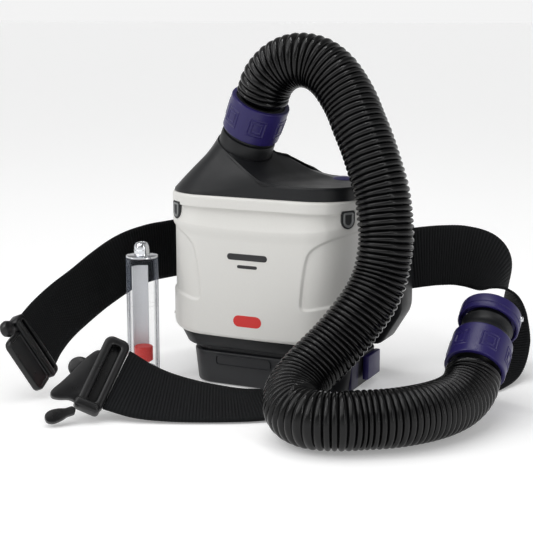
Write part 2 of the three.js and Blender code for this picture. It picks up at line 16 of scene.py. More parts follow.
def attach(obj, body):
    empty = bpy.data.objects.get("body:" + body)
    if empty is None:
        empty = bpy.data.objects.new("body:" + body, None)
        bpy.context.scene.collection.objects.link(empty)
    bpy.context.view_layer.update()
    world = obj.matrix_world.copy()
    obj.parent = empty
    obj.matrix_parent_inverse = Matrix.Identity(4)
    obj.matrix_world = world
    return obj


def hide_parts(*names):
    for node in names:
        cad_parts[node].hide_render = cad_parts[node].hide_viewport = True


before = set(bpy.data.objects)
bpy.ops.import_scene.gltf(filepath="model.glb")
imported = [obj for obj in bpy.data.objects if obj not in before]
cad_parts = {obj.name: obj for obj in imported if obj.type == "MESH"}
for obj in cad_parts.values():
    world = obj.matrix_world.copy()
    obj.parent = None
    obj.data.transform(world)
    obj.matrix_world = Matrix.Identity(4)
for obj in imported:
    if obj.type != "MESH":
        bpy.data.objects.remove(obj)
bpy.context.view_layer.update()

# %% [markdown]
# ## Camera
# The object is seen from a little to its right and from just above, with a long lens, so that
# upright lines stay nearly parallel.

# %% Camera
AZIMUTH = math.radians(25)
DIP = math.radians(11.28)

camera_data = bpy.data.cameras.new("camera")
camera_data.lens = 85.5
camera_data.sensor_width = 36
camera = bpy.data.objects.new("camera", camera_data)
camera.location = (0.4142, -0.9102, 0.290)
camera.rotation_euler = (math.pi / 2 - DIP, 0, AZIMUTH)
bpy.context.scene.collection.objects.link(camera)
bpy.context.scene.camera = camera
bpy.context.scene.view_settings.view_transform = "Standard"
print("camera at", [round(c, 3) for c in camera.location])

# %% [markdown]
# ## Working in millimetres
# The real unit was drawn in millimetres, so every piece here is too. One helper finishes a piece:
# it scales the mesh to metres, smooths it, keeps creases that are sharper than an angle, hangs it
# on the body that it moves with, and hides the plain solid that it stands for.

# %% Finish a piece
MM = 0.001


def finished(bm, name, body, material, stands_for=(), crease=38):
    """Turns a mesh drawn in millimetres into a finished piece in metres."""
    bmesh.ops.scale(bm, vec=(MM, MM, MM), verts=bm.verts)
    mesh = bpy.data.meshes.new(name)
    bm.to_mesh(mesh)
    bm.free()
    mesh.materials.append(material)
    mesh.shade_smooth()
    mesh.set_sharp_from_angle(angle=math.radians(crease))
    piece = bpy.data.objects.new(name, mesh)
    bpy.context.scene.collection.objects.link(piece)
    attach(piece, body)
    for node in stands_for:
        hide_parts(node)
    print(f"{name}: {len(mesh.polygons)} faces")
    return piece


# %% Mesh helpers
def turn_out(bm):
    """Joins doubled points and makes every face look outwards."""
    bmesh.ops.remove_doubles(bm, verts=bm.verts, dist=0.0005)
    bmesh.ops.recalc_face_normals(bm, faces=bm.faces)


def soften(bm, width, angle=35, segments=3):
    """Rounds the edges that are sharper than an angle, as a mould does."""
    sharp = [
        edge for edge in bm.edges
        if len(edge.link_faces) == 2 and edge.calc_face_angle() > math.radians(angle)
    ]
    bmesh.ops.bevel(
        bm, geom=sharp, offset=width, segments=segments, profile=0.5, affect="EDGES",
        material=-1, clamp_overlap=True,
    )


def face_of(bm, points):
    """A face with the given outline: a capped circle whose points are moved onto it."""
    ring = bmesh.ops.create_circle(bm, cap_ends=True, segments=len(points), radius=1)
    for vert, point in zip(ring["verts"], points):
        vert.co = Vector(point)
    return ring["verts"][0].link_faces[0]


def raise_face(bm, face, by):
    """Extrudes a face by a vector into a closed block."""
    grown = bmesh.ops.extrude_face_region(bm, geom=[face])["geom"]
    bmesh.ops.translate(bm, verts=[g for g in grown if isinstance(g, bmesh.types.BMVert)], vec=by)


def block(points, low, high):
    """A closed block: a plan outline between two heights."""
    bm = bmesh.new()
    face = face_of(bm, [(p[0], p[1], low) for p in points])
    raise_face(bm, face, (0, 0, high - low))
    turn_out(bm)
    return bm


def spun(profile, segments=64):
    """A round piece turned about +Z from a closed outline of (radius, height) points."""
    bm = bmesh.new()
    verts = [bm.verts.new((r, 0, h)) for r, h in profile]
    edges = [bm.edges.new((a, b)) for a, b in zip(verts, verts[1:] + verts[:1])]
    bmesh.ops.spin(
        bm, geom=verts + edges, axis=(0, 0, 1), cent=(0, 0, 0), angle=2 * math.pi,
        steps=segments, use_merge=True,
    )
    bmesh.ops.dissolve_degenerate(bm, dist=0.0005, edges=bm.edges)
    turn_out(bm)
    return bm


def put(bm, matrix):
    """Moves a mesh to its place."""
    bmesh.ops.transform(bm, matrix=matrix, verts=bm.verts)
    return bm


# %% [markdown]
# ## Finishes
# Moulded plastic is never one flat colour: it has a fine spark-eroded grain, slow cloudy changes in
# colour, and a gloss that differs from place to place. A few noise textures on the object's own
# coordinates give all three, and uniform values sit on the shader itself.

# %% Colour helper
def tone(red, green, blue):
    """A colour given from 0 to 255, in Blender's linear values."""
    values = [c / 255 for c in (red, green, blue)]
    linear = [c / 12.92 if c <= 0.04045 else ((c + 0.055) / 1.055) ** 2.4 for c in values]
    return (*linear, 1)


def shade(colour, factor):
    return (*(min(1, c * factor) for c in colour[:3]), 1)


class Recipe:
    """A new material with its nodes, links and shader at hand."""

    def __init__(self, name):
        self.material = bpy.data.materials.new(name)
        self.material.use_nodes = True
        self.nodes = self.material.node_tree.nodes
        self.shader = self.nodes["Principled BSDF"]
        self.place = self.nodes.new("ShaderNodeTexCoord")

    def join(self, start, end):
        self.material.node_tree.links.new(start, end)

    def noise(self, scale, detail=2.0, roughness=0.5, source="Object"):
        node = self.nodes.new("ShaderNodeTexNoise")
        node.inputs["Scale"].default_value = scale
        node.inputs["Detail"].default_value = detail
        node.inputs["Roughness"].default_value = roughness
        self.join(self.place.outputs[source], node.inputs["Vector"])
        return node.outputs["Fac"]

    def mix(self, factor, first, second):
        node = self.nodes.new("ShaderNodeMix")
        node.data_type = "RGBA"
        for socket, value in ((node.inputs[6], first), (node.inputs[7], second)):
            if isinstance(value, bpy.types.NodeSocket):
                self.join(value, socket)
            else:
                socket.default_value = value
        self.join(factor, node.inputs[0])
        return node.outputs[2]

    def spread(self, factor, low, high, start=0.3, end=0.7):
        node = self.nodes.new("ShaderNodeMapRange")
        node.inputs["From Min"].default_value = start
        node.inputs["From Max"].default_value = end
        node.inputs["To Min"].default_value = low
        node.inputs["To Max"].default_value = high
        self.join(factor, node.inputs["Value"])
        return node.outputs["Result"]

    def sum(self, kind, first, second):
        node = self.nodes.new("ShaderNodeMath")
        node.operation = kind
        for socket, value in ((node.inputs[0], first), (node.inputs[1], second)):
            if isinstance(value, bpy.types.NodeSocket):
                self.join(value, socket)
            else:
                socket.default_value = value
        return node.outputs[0]

    def relief(self, height, strength, depth):
        node = self.nodes.new("ShaderNodeBump")
        node.inputs["Strength"].default_value = strength
        node.inputs["Distance"].default_value = depth
        self.join(height, node.inputs["Height"])
        self.join(node.outputs["Normal"], self.shader.inputs["Normal"])

    def colour(self, socket):
        self.join(socket, self.shader.inputs["Base Color"])

    def gloss(self, socket):
        self.join(socket, self.shader.inputs["Roughness"])


def moulded(name, colour, rough, grain=2200, strength=0.12, specular=0.5, variation=0.06):
    """Moulded plastic or rubber: cloudy colour, uneven gloss and a fine grain."""
    recipe = Recipe(name)
    cloud = recipe.noise(18, 4, 0.6)
    fine = recipe.noise(900, 2)
    tint = recipe.mix(cloud, shade(colour, 1 - variation), shade(colour, 1 + variation))
    speckle = recipe.spread(fine, 0, 1)
    recipe.colour(recipe.mix(speckle, tint, shade(colour, 1.02)))
    recipe.gloss(recipe.spread(recipe.noise(60, 5, 0.65), rough - 0.05, rough + 0.06))
    recipe.relief(recipe.noise(grain, 3, 0.6), strength, 0.0002)
    recipe.shader.inputs["Specular IOR Level"].default_value = specular
    return recipe.material


# %% Plastics and rubbers
COVER_PLASTIC = moulded("cover plastic", tone(216, 215, 211), 0.42, variation=0.012, strength=0.06)
CHARCOAL = moulded("charcoal plastic", tone(23, 24, 26), 0.42, strength=0.08, specular=0.3)
BATTERY_PLASTIC = moulded("battery plastic", tone(26, 27, 30), 0.4, strength=0.12, specular=0.4)
PURPLE = moulded("purple plastic", tone(37, 30, 86), 0.34, strength=0.06, specular=0.35)
# A darker copy of the purple plastic: painted shade for the latch runner's shaded face.
PURPLE_PAINTED_SHADE = moulded("shade-painted purple plastic", tone(30, 25, 62), 0.4, strength=0.08, specular=0.4)
HOSE_RUBBER = moulded("hose rubber", tone(9, 9, 10), 0.2, grain=1500, strength=0.02, specular=0.3)
BUCKLE_PLASTIC = moulded("buckle plastic", tone(10, 10, 12), 0.3, strength=0.015, specular=0.4)
SEAL_RUBBER = moulded("seal rubber", tone(30, 31, 33), 0.6)
CLIP_GREY = moulded("smoke grey clip", tone(122, 124, 124), 0.22, strength=0.03)
RED_PLASTIC = moulded("red plastic", tone(214, 52, 46), 0.4, variation=0.03)
PRINT_DARK = moulded("dark print", tone(34, 34, 36), 0.5, strength=0.03)
PRINT_RED = moulded("red print", tone(205, 42, 38), 0.5, strength=0.03, variation=0.02)
print("plastics:", sum(m.name.endswith("plastic") for m in bpy.data.materials))


# %% [markdown]
# Metal parts show fine turning marks, the board its green lacquer and copper tracks, and the filter
# paper its felted fibres. Clear plastic is nearly see-through where it faces the eye and turns
# denser towards its edges, which a Layer Weight node tells it, so light still passes inside.

# %% Metal, board, paper and clear plastic
def metal(name, colour, rough, stretch):
    recipe = Recipe(name)
    turn = recipe.nodes.new("ShaderNodeMapping")
    turn.inputs["Scale"].default_value = stretch
    recipe.join(recipe.place.outputs["Object"], turn.inputs["Vector"])
    marks = recipe.nodes.new("ShaderNodeTexNoise")
    marks.inputs["Scale"].default_value = 700
    recipe.join(turn.outputs["Vector"], marks.inputs["Vector"])
    recipe.colour(recipe.mix(marks.outputs["Fac"], shade(colour, 0.85), colour))
    recipe.gloss(recipe.spread(marks.outputs["Fac"], rough, rough + 0.12))
    recipe.relief(marks.outputs["Fac"], 0.08, 0.0002)
    recipe.shader.inputs["Metallic"].default_value = 1
    return recipe.material


def board(name):
    recipe = Recipe(name)
    tracks = recipe.nodes.new("ShaderNodeTexBrick")
    tracks.inputs["Scale"].default_value = 160
    tracks.inputs["Color1"].default_value = tone(18, 92, 52)
    tracks.inputs["Color2"].default_value = tone(22, 104, 60)
    tracks.inputs["Mortar"].default_value = tone(170, 130, 60)
    tracks.inputs["Mortar Size"].default_value = 0.02
    recipe.join(recipe.place.outputs["Object"], tracks.inputs["Vector"])
    recipe.colour(tracks.outputs["Color"])
    recipe.gloss(recipe.spread(recipe.noise(300), 0.3, 0.45))
    return recipe.material


def felt(name, colour, size):
    recipe = Recipe(name)
    fibres = recipe.noise(size, 6, 0.7)
    recipe.colour(recipe.mix(fibres, shade(colour, 0.88), colour))
    recipe.gloss(recipe.spread(fibres, 0.8, 0.95))
    recipe.relief(fibres, 0.3, 0.0004)
    return recipe.material


def clear(name, tint, haze):
    recipe = Recipe(name)
    wipes = recipe.noise(40, 4, 0.6)
    recipe.gloss(recipe.spread(wipes, haze, haze + 0.05))
    recipe.colour(recipe.mix(wipes, shade(tint, 0.9), tint))
    edge = recipe.nodes.new("ShaderNodeLayerWeight")
    edge.inputs["Blend"].default_value = 0.5
    cover_share = recipe.spread(edge.outputs["Facing"], 0.035, 0.9, 0.35, 1.0)
    recipe.join(cover_share, recipe.shader.inputs["Alpha"])
    recipe.shader.inputs["IOR"].default_value = 1.5
    return recipe.material


STEEL = metal("brushed steel", tone(178, 180, 184), 0.25, (1, 1, 12))
CHROME = metal("chrome", tone(222, 224, 228), 0.08, (1, 1, 4))
CIRCUIT_BOARD = board("circuit board")
FILTER_PAPER = felt("filter paper", tone(232, 230, 222), 900)
FOAM = felt("pad foam", tone(34, 35, 38), 1400)
SCALE_WHITE = felt("scale card", tone(236, 238, 242), 500)
CLEAR_PLASTIC = clear("clear plastic", tone(112, 118, 130), 0.03)
print("other finishes:", STEEL.name, CHROME.name, CIRCUIT_BOARD.name, CLEAR_PLASTIC.name)


# %% [markdown]
# ## The line of the hose
# The hose is the one thing that the eye follows from end to end, so its line comes first. It leaves
# the outlet collar, arches over the unit's front, drops in front of it, doubles back at the table
# and lies in a wide bow to its end fitting. A spline through the same points as the solid's gives
# the line, and even steps along it give the rings.

# %% Spline through rows of numbers
def spline(rows, per_span=24):
    """A smooth line through rows of numbers, which it passes through one by one."""
    rows = np.array(rows, float)
    padded_rows = np.vstack([2 * rows[0] - rows[1], rows, 2 * rows[-1] - rows[-2]])
    line = []
    for i in range(len(rows) - 1):
        a, b, c, d = padded_rows[i : i + 4]
        for t in np.arange(per_span) / per_span:
            line.append(0.5 * (2 * b + (c - a) * t + (2 * a - 5 * b + 4 * c - d) * t**2
                               + (3 * b - a - 3 * c + d) * t**3))
    return np.array(line + [rows[-1]])


def even(line, count):
    """The same line in evenly spaced rows, and its length. A row starts with its place."""
    steps = np.linalg.norm(np.diff(line[:, :3], axis=0), axis=1)
    walk = np.concatenate([[0], np.cumsum(steps)])
    at = np.linspace(0, walk[-1], count)
    return np.stack([np.interp(at, walk, column) for column in line.T], axis=1), walk[-1]


# %% Route of the hose
HOSE_DIAMETER = 41
HOSE_ROUTE = [
    (-1.6, -25.9, 227.8), (4.3, -28.5, 240.3), (15, -29, 251), (29, -29, 256), (44, -28, 254),
    (57, -29, 246), (67, -31, 235), (75, -34, 224), (82, -38, 212), (90, -42, 198),
    (98, -46, 181), (105, -49, 163), (109, -52, 144), (111, -55, 126), (109, -60, 104),
    (104, -68, 87), (96, -78, 72), (87, -89, 58), (78, -102, 46), (71, -117, 35),
    (71, -133, 27), (80, -147, 22), (96, -154, 21), (113, -150, 21), (127, -141, 21),
    (140, -132, 21), (151, -121, 21), (162, -105, 21), (170, -88, 21.5), (175, -72, 23.5),
    (177.3, -58, 28.2), (177, -48, 35),
]
hose_line, hose_length = even(spline(HOSE_ROUTE), 400)
print(f"hose: {hose_length:.0f} mm long")

# %% [markdown]
# ## The corrugated skin
# Each corrugation is a round crest and a tighter valley. A grid is made long enough for eight rows
# a corrugation, and each of its points is moved to its ring: along the line, turned round it in a
# frame that doesn't twist, and out by the radius that the corrugation has there.

# %% Frames along a line
def untwisted(line):
    """Side and up vectors along a line, carried along it without any twist."""
    tangents = np.gradient(line, axis=0)
    tangents /= np.linalg.norm(tangents, axis=1)[:, None]
    side = np.cross(tangents[0], (0, 0.3, 1))
    sides = []
    for tangent in tangents:
        side = side - tangent * np.dot(side, tangent)
        side = side / np.linalg.norm(side)
        sides.append(side)
    sides = np.array(sides)
    return sides, np.cross(tangents, sides)


# %% Corrugated hose
PITCH = 4.2
CORRUGATION_DEPTH = 2.3
ROWS_PER_PITCH = 8
HOSE_SIDES = 40


def corrugation(phase):
    """Radius at a phase from 0 to 1: a full round crest and a narrow valley."""
    crest = max(0.0, math.sin(math.pi * phase)) ** 0.55
    return HOSE_DIAMETER / 2 - CORRUGATION_DEPTH * (1 - crest)


corrugations = round(hose_length / PITCH)
row_count = corrugations * ROWS_PER_PITCH + 1
rings, _ = even(spline(HOSE_ROUTE), row_count)
sides, ups = untwisted(rings)

bm = bmesh.new()
bmesh.ops.create_grid(bm, x_segments=HOSE_SIDES, y_segments=row_count - 1, size=0.5)
for vert in bm.verts:
    angle = (vert.co.x + 0.5) * 2 * math.pi
    row = round((vert.co.y + 0.5) * (row_count - 1))
    radius = corrugation((row % ROWS_PER_PITCH) / ROWS_PER_PITCH)
    out = sides[row] * math.cos(angle) + ups[row] * math.sin(angle)
    vert.co = Vector(rings[row] + out * radius)
turn_out(bm)
ends = [edge for edge in bm.edges if edge.is_boundary]
lip = bmesh.ops.extrude_edge_only(bm, edges=ends)["geom"]
for vert in [g for g in lip if isinstance(g, bmesh.types.BMVert)]:
    row = 0 if (vert.co - Vector(rings[0])).length < HOSE_DIAMETER else row_count - 1
    vert.co = Vector(rings[row]) + (vert.co - Vector(rings[row])) * 0.82
hose = finished(bm, "corrugated_hose", "blower_unit", HOSE_RUBBER,
                ["breathing_hose"], crease=80)

# %% [markdown]
# ## Fittings along their axes
# The outlet neck and the hose's end fitting are round pieces on leaning axes. They are turned about
# +Z and then moved by one matrix each, so their numbers stay easy to read.

# %% Easing and two leaning axes
def smooth_step(value, start, end):
    t = min(1.0, max(0.0, (value - start) / (end - start)))
    return t * t * (3 - 2 * t)


def leaning(base, axis):
    turn = Vector((0, 0, 1)).rotation_difference(Vector(axis).normalized())
    return Matrix.Translation(Vector(base)) @ turn.to_matrix().to_4x4()


NECK_BASE = (-20.5, -17.3, 187.9)
NECK_AXIS = (0.42, -0.19, 0.887)
NECK_PLACE = leaning(NECK_BASE, NECK_AXIS)
END_PLACE = leaning((177, -48, 35), (-0.02, 0.83, 0.56))
print("outlet axis", [round(c, 3) for c in NECK_PLACE.col[2][:3]])


# %% [markdown]
# ## Grip collars
# A grip collar is a plain ring with six pairs of raised square frames for the fingers. A fine grid
# is rolled into the ring, and the frames are added to its radius as it is rolled.

# %% Grip collars
COLLAR_RADIUS = 22.5
COLLAR_COLUMNS = 360
PANEL_COUNT = 6


def square_ridge(across, up, half, width):
    """1 on the line of a square of that half size, falling to 0 at its sides."""
    off_line = abs(max(abs(across), abs(up)) - half)
    return 1 - smooth_step(off_line, width * 0.35, width * 0.75)


def grip_relief(angle, height, middle):
    """Height of the two square frames of the nearest panel over the collar's skin."""
    step = 2 * math.pi / PANEL_COUNT
    turn = (angle + step / 2) % step - step / 2
    across, up = turn * COLLAR_RADIUS, height - middle
    return 0.45 * max(square_ridge(across, up, 6.4, 0.9), square_ridge(across, up, 3.7, 0.8))


def grip_collar(length, bore, flare=0.0):
    """A ring from z 0 to length, with double square frames round it."""
    inner = [(bore, length - 0.8), (bore, 0.8), (bore + 0.5, 0.1), (bore + 0.9, 0)]
    skin = [(COLLAR_RADIUS - 0.9, 0), (COLLAR_RADIUS - 0.3, 0.25), (COLLAR_RADIUS, 0.9)]
    skin += [(COLLAR_RADIUS + flare * h / length, h) for h in np.arange(1.5, length - 1, 0.4)]
    top = COLLAR_RADIUS + flare
    skin += [(top, length - 0.9), (top - 0.3, length - 0.25), (top - 0.9, length)]
    profile = inner + skin + [(bore + 0.9, length), (bore + 0.2, length - 0.3), inner[0]]
    bm = bmesh.new()
    bmesh.ops.create_grid(
        bm, x_segments=COLLAR_COLUMNS, y_segments=len(profile) - 1, size=0.5)
    for vert in bm.verts:
        angle = (vert.co.x + 0.5) * 2 * math.pi
        radius, height = profile[round((vert.co.y + 0.5) * (len(profile) - 1))]
        if radius > COLLAR_RADIUS - 0.1:
            radius += grip_relief(angle, height, length / 2)
        vert.co = (radius * math.cos(angle), radius * math.sin(angle), height)
    turn_out(bm)
    return bm


outlet_grip = grip_collar(28, 19.4, flare=0.6)
put(outlet_grip, NECK_PLACE @ Matrix.Translation((0, 0, 14)))
finished(outlet_grip, "outlet_grip", "outlet_bayonet", PURPLE,
         ["outlet_collar"], crease=25)

end_grip = grip_collar(28, 19.4)
put(end_grip, END_PLACE @ Matrix.Translation((0, 0, 3)))
end_collar = finished(end_grip, "end_grip", "end_bayonet", PURPLE,
                      ["end_collar"], crease=25)

# %% [markdown]
# ## Neck, nozzle and coupling
# The neck grows out of the top housing and carries a shadow groove under the collar. At the other
# end a charcoal nozzle joins the collar to the purple coupling, which has a deep groove round it
# and a steel locking pin.

# %% Outlet neck
neck = spun([
    (17, -2), (21.6, -2), (21.5, 9.6), (21.0, 10.6), (19.6, 10.9), (19.2, 11.3), (19.2, 13.2),
    (19, 13.6), (19, 28.6), (18.6, 29), (17.2, 29), (17, 28.6),
])
put(neck, NECK_PLACE)
finished(neck, "outlet_neck_skin", "blower_unit", CHARCOAL, ["outlet_neck"])

# %% Nozzle, coupling and pin
nozzle = spun([
    (15.8, 6), (18.4, 6), (18.9, 6.6), (18.9, 31.2), (19.4, 31.7), (20.4, 32.4), (20.2, 34),
    (18.6, 37), (17.9, 40), (18.2, 43.2), (19.4, 45.4), (17.4, 46.2), (17.4, 56.4), (16.8, 57),
    (15.8, 56.4),
])
put(nozzle, END_PLACE)
end_nozzle = finished(nozzle, "end_nozzle", "blower_unit", CHARCOAL,
                      ["end_spigot"])

coupler = spun([
    (17.9, 49.8), (19.6, 50.2), (20.2, 48.8), (20.8, 47.6), (21.6, 47), (22.6, 47.2), (23, 48),
    (23, 51), (22.6, 51.5), (22.6, 52), (23.1, 52.5), (23.1, 58.6), (22.8, 59.7), (22, 60.4),
    (20.4, 60.4), (19.7, 60), (19.2, 59), (19.2, 51.6), (18.2, 51.4), (17.9, 51),
], 96)
put(coupler, END_PLACE)
coupling = finished(coupler, "coupling_grip", "coupling", PURPLE,
                    ["coupling_ring"], crease=30)

pin = spun([(0, 0.3), (2, 0.3), (2, 1.6), (1.5, 2.3), (0, 2.6)], 24)
pin_turn = Matrix.Translation((22.2, 0, 57)) @ Matrix.Rotation(math.pi / 2, 4, "Y")
put(pin, END_PLACE @ pin_turn)
locking_pin = finished(pin, "locking_pin", "coupling", CHROME, ["coupling_pin"])

# %% [markdown]
# ## The unit's plan
# Cover, housing, skirt and deck all follow one plan: a flat front, wide rounded front corners and
# small back corners. A walk round it gives points for every piece, so neighbours always match.

# %% Plan of the unit
HALF_WIDTH = 80
FRONT_FLAT = 42
FRONT_Y = -55
SHOULDER_Y = -20
BACK_Y = 50
BACK_CORNER = 20
FRONT_CORNER_WALK = 57.3
SIDE_WALK = BACK_Y - BACK_CORNER - SHOULDER_Y
BACK_CORNER_WALK = BACK_CORNER * math.pi / 2
HALF_WALK = FRONT_FLAT + FRONT_CORNER_WALK + SIDE_WALK + BACK_CORNER_WALK + HALF_WIDTH - BACK_CORNER


def on_plan(walk, inset=0.0):
    """Point of the plan at a walk from the middle of the front, and the way out from it."""
    side = 1 if walk >= 0 else -1
    left = abs(walk)
    if left <= FRONT_FLAT:
        point, out = (left, FRONT_Y), (0, -1)
    elif left <= FRONT_FLAT + FRONT_CORNER_WALK:
        turn = (left - FRONT_FLAT) / FRONT_CORNER_WALK * math.pi / 2
        reach = (HALF_WIDTH - FRONT_FLAT, SHOULDER_Y - FRONT_Y)
        point = (FRONT_FLAT + reach[0] * math.sin(turn), SHOULDER_Y - reach[1] * math.cos(turn))
        out = (math.sin(turn) / reach[0], -math.cos(turn) / reach[1])
    elif left <= FRONT_FLAT + FRONT_CORNER_WALK + SIDE_WALK:
        point, out = (HALF_WIDTH, SHOULDER_Y + left - FRONT_FLAT - FRONT_CORNER_WALK), (1, 0)
    elif left <= HALF_WALK - (HALF_WIDTH - BACK_CORNER):
        turn = (left - FRONT_FLAT - FRONT_CORNER_WALK - SIDE_WALK) / BACK_CORNER
        out = (math.cos(turn), math.sin(turn))
        point = (HALF_WIDTH - BACK_CORNER + BACK_CORNER * out[0],
                 BACK_Y - BACK_CORNER + BACK_CORNER * out[1])
    else:
        point, out = (HALF_WALK - left, BACK_Y), (0, 1)
    length = math.hypot(*out)
    out = Vector((side * out[0] / length, out[1] / length, 0))
    return Vector((side * point[0], point[1], 0)) - out * inset, out


def plan_points(inset, count=220):
    """The whole plan as an outline, moved in by inset."""
    walks = [(-1 + 2 * i / count) * HALF_WALK for i in range(count)]
    return [on_plan(walk, inset)[0] for walk in walks]


print(f"half way round the plan: {HALF_WALK:.1f} mm")

# %% [markdown]
# ## Filter cover
# The cover is the light face of the unit. Under its rim a hollow channel runs from clip to clip,
# and a finger recess is let into each side. The relief is worked out as one inset for each place
# on the skin: a grid is laid round the plan, and each point is moved in by that amount. A Solidify
# modifier then gives the wall.

# %% Relief of the cover
COVER_LOW = 41.7
COVER_TOP = 153
RIM_LOW = 144.0
CLIP_WALKS = {-1: 68, 1: 80}
CLIP_Z = 139
RECESS_OUTLINE = [
    (112, 131), (96, 129.5), (84, 128.6), (72.8, 126.8), (62, 123.4), (54, 119.4), (49, 114.6),
    (46.6, 109), (44.8, 100), (43.2, 88), (42.2, 76), (42.6, 71.8), (45.2, 69.6), (50, 69.6),
    (58.2, 71.2), (72.8, 73.1), (90, 74.4), (112, 75),
]
recess_edge = spline(RECESS_OUTLINE, 6)


def recess_distance(walk, z):
    """Distance inside the finger recess's outline, negative outside it."""
    here = np.array((walk, z))
    starts, ends = recess_edge, np.roll(recess_edge, -1, axis=0)
    spans = ends - starts
    along = np.clip(((here - starts) * spans).sum(1) / (spans**2).sum(1).clip(1e-9), 0, 1)
    nearest = np.linalg.norm(here - starts - spans * along[:, None], axis=1).min()
    crossing = (starts[:, 1] > z) != (ends[:, 1] > z)
    rise = np.where(spans[:, 1] == 0, 1e-9, spans[:, 1])
    hits = crossing & (walk < starts[:, 0] + (z - starts[:, 1]) * spans[:, 0] / rise)
    return nearest if hits.sum() % 2 else -nearest


def clip_distance(walk, z, half=5.6, top=6.6):
    """Distance inside the shield-shaped pocket of a clip, negative outside it."""
    across, up = abs(abs(walk) - CLIP_WALKS[-1 if walk < 0 else 1]), z - CLIP_Z
    if up > -top + half:
        return min(half - across, top - up)
    return half - math.hypot(across, up + top - half)


def cover_relief(walk, z):
    """How far the skin lies inside the plan."""
    far = abs(walk) / 80
    channel_low = 127.8 + 6.5 * min(1.25, far) ** 2.4
    depth = 0.0
    if z < RIM_LOW:
        share = (z - channel_low) / (RIM_LOW - channel_low)
        clip_walk = CLIP_WALKS[-1 if walk < 0 else 1]
        fade = 1 - 0.75 * smooth_step(abs(walk), clip_walk - 16, clip_walk)
        if share > 0:
            depth = 3.5 * fade * (1 - (1 - min(1, share)) ** 1.6)
        depth *= smooth_step(RIM_LOW - z, 0, 0.5)
    depth += 0.75 * smooth_step(channel_low - z, 1.5, 9.5)
    depth += 1.5 * smooth_step(recess_distance(abs(walk), z), -0.1, 1.7)
    depth += 2.4 * smooth_step(clip_distance(walk, z), -0.3, 0.4)
    return depth


# %% Cover skin
COVER_HALF_WALK = 99.9
COLUMN_STEP = 0.8


def cover_rows(walk):
    """(inset, height) points from the flange at the top to the flange at the bottom."""
    rows = [(9, COVER_TOP), (6, COVER_TOP), (3.4, COVER_TOP)]
    for i in range(8):
        turn = math.radians(90 - i * 90 / 7)
        rows.append((2.2 - 2.2 * math.cos(turn), COVER_TOP - 2.2 + 2.2 * math.sin(turn)))
    low_round = 2.6 + 5.4 * min(1.2, abs(walk) / 80) ** 2
    heights = list(np.arange(150, RIM_LOW + 0.8, -0.8))
    heights += list(np.arange(RIM_LOW + 0.6, 142.6, -0.2))
    heights += list(np.linspace(142.2, COVER_LOW + 10, 112))
    rows += [(cover_relief(walk, z), float(z)) for z in heights]
    for z in np.linspace(COVER_LOW + 9.2, COVER_LOW + low_round, 4):
        rows.append((0.75, float(z)))
    for i in range(1, 9):
        turn = math.radians(i * 90 / 8)
        rows.append((0.75 + low_round * (1 - math.cos(turn)),
                     COVER_LOW + low_round * (1 - math.sin(turn))))
    return rows + [(low_round + 3, COVER_LOW), (low_round + 6, COVER_LOW)]


columns = int(2 * COVER_HALF_WALK / COLUMN_STEP)
sections = [cover_rows(-COVER_HALF_WALK + i * 2 * COVER_HALF_WALK / columns)
            for i in range(columns + 1)]
row_total = len(sections[0])

bm = bmesh.new()
bmesh.ops.create_grid(bm, x_segments=columns, y_segments=row_total - 1, size=0.5)
for vert in bm.verts:
    column = round((vert.co.x + 0.5) * columns)
    row = round((0.5 - vert.co.y) * (row_total - 1))
    inset, height = sections[column][row]
    walk = -COVER_HALF_WALK + column * 2 * COVER_HALF_WALK / columns
    point, _ = on_plan(walk, inset)
    vert.co = (point.x, point.y, height)
bmesh.ops.recalc_face_normals(bm, faces=bm.faces)
middle = min(bm.faces, key=lambda f: (f.calc_center_median() - Vector((0, -55, 90))).length)
if middle.normal.y > 0:
    bmesh.ops.reverse_faces(bm, faces=bm.faces)
cover = finished(bm, "filter_cover", "cover", COVER_PLASTIC,
                 ["front_cover"], crease=60)
wall = cover.modifiers.new("wall", "SOLIDIFY")
wall.thickness = 2.0 * MM
wall.offset = -1

# %% [markdown]
# ## Cover clips
# Each clip is a small smoke-grey shield in a dark pocket, with a finger dent in its face. The
# pocket's liner is a thin frame that reads as the gap round the clip.

# %% Clips
CLIP_SPOTS = {-1: (-66.8, -46.5, -38.5), 1: (74.8, -37.7, 57.6)}


def shield(half, top, count=18):
    """Outline of a clip: flat top with small corners and a round lower end."""
    low = [(half * math.sin(a), -top + half - half * math.cos(a))
           for a in np.linspace(-math.pi / 2, math.pi / 2, count)]
    return low + [(half, top - 1.2), (half - 1.2, top), (-half + 1.2, top), (-half, top - 1.2)]


def clip_place(side):
    x, y, turn = CLIP_SPOTS[side]
    facing = Matrix.Rotation(math.radians(turn), 4, "Z")
    upright = Matrix.Rotation(math.pi / 2, 4, "X")
    return Matrix.Translation((x, y, CLIP_Z)) @ facing @ upright


def clip_body(side, name, body, node):
    bm = bmesh.new()
    face = face_of(bm, [(x, y, -0.9) for x, y in shield(4.7, 5.7)])
    raise_face(bm, face, (0, 0, 1.5))
    turn_out(bm)
    top = max(bm.faces, key=lambda f: f.calc_center_median().z)
    bmesh.ops.inset_region(bm, faces=[top], thickness=1.0, depth=0.5)
    bmesh.ops.inset_region(bm, faces=[top], thickness=0.9, depth=-0.9)
    soften(bm, 0.25, 30, 2)
    put(bm, clip_place(side))
    finished(bm, name, body, CLIP_GREY, [node], crease=40)


def clip_liner(side, name):
    bm = bmesh.new()
    outer = face_of(bm, [(x, y, 0.25) for x, y in shield(5.9, 6.9)])
    bmesh.ops.inset_region(bm, faces=[outer], thickness=0.85)
    raise_face(bm, outer, (0, 0, -2.0))
    bmesh.ops.recalc_face_normals(bm, faces=bm.faces)
    put(bm, clip_place(side))
    return finished(bm, name, "cover", SEAL_RUBBER, crease=40)


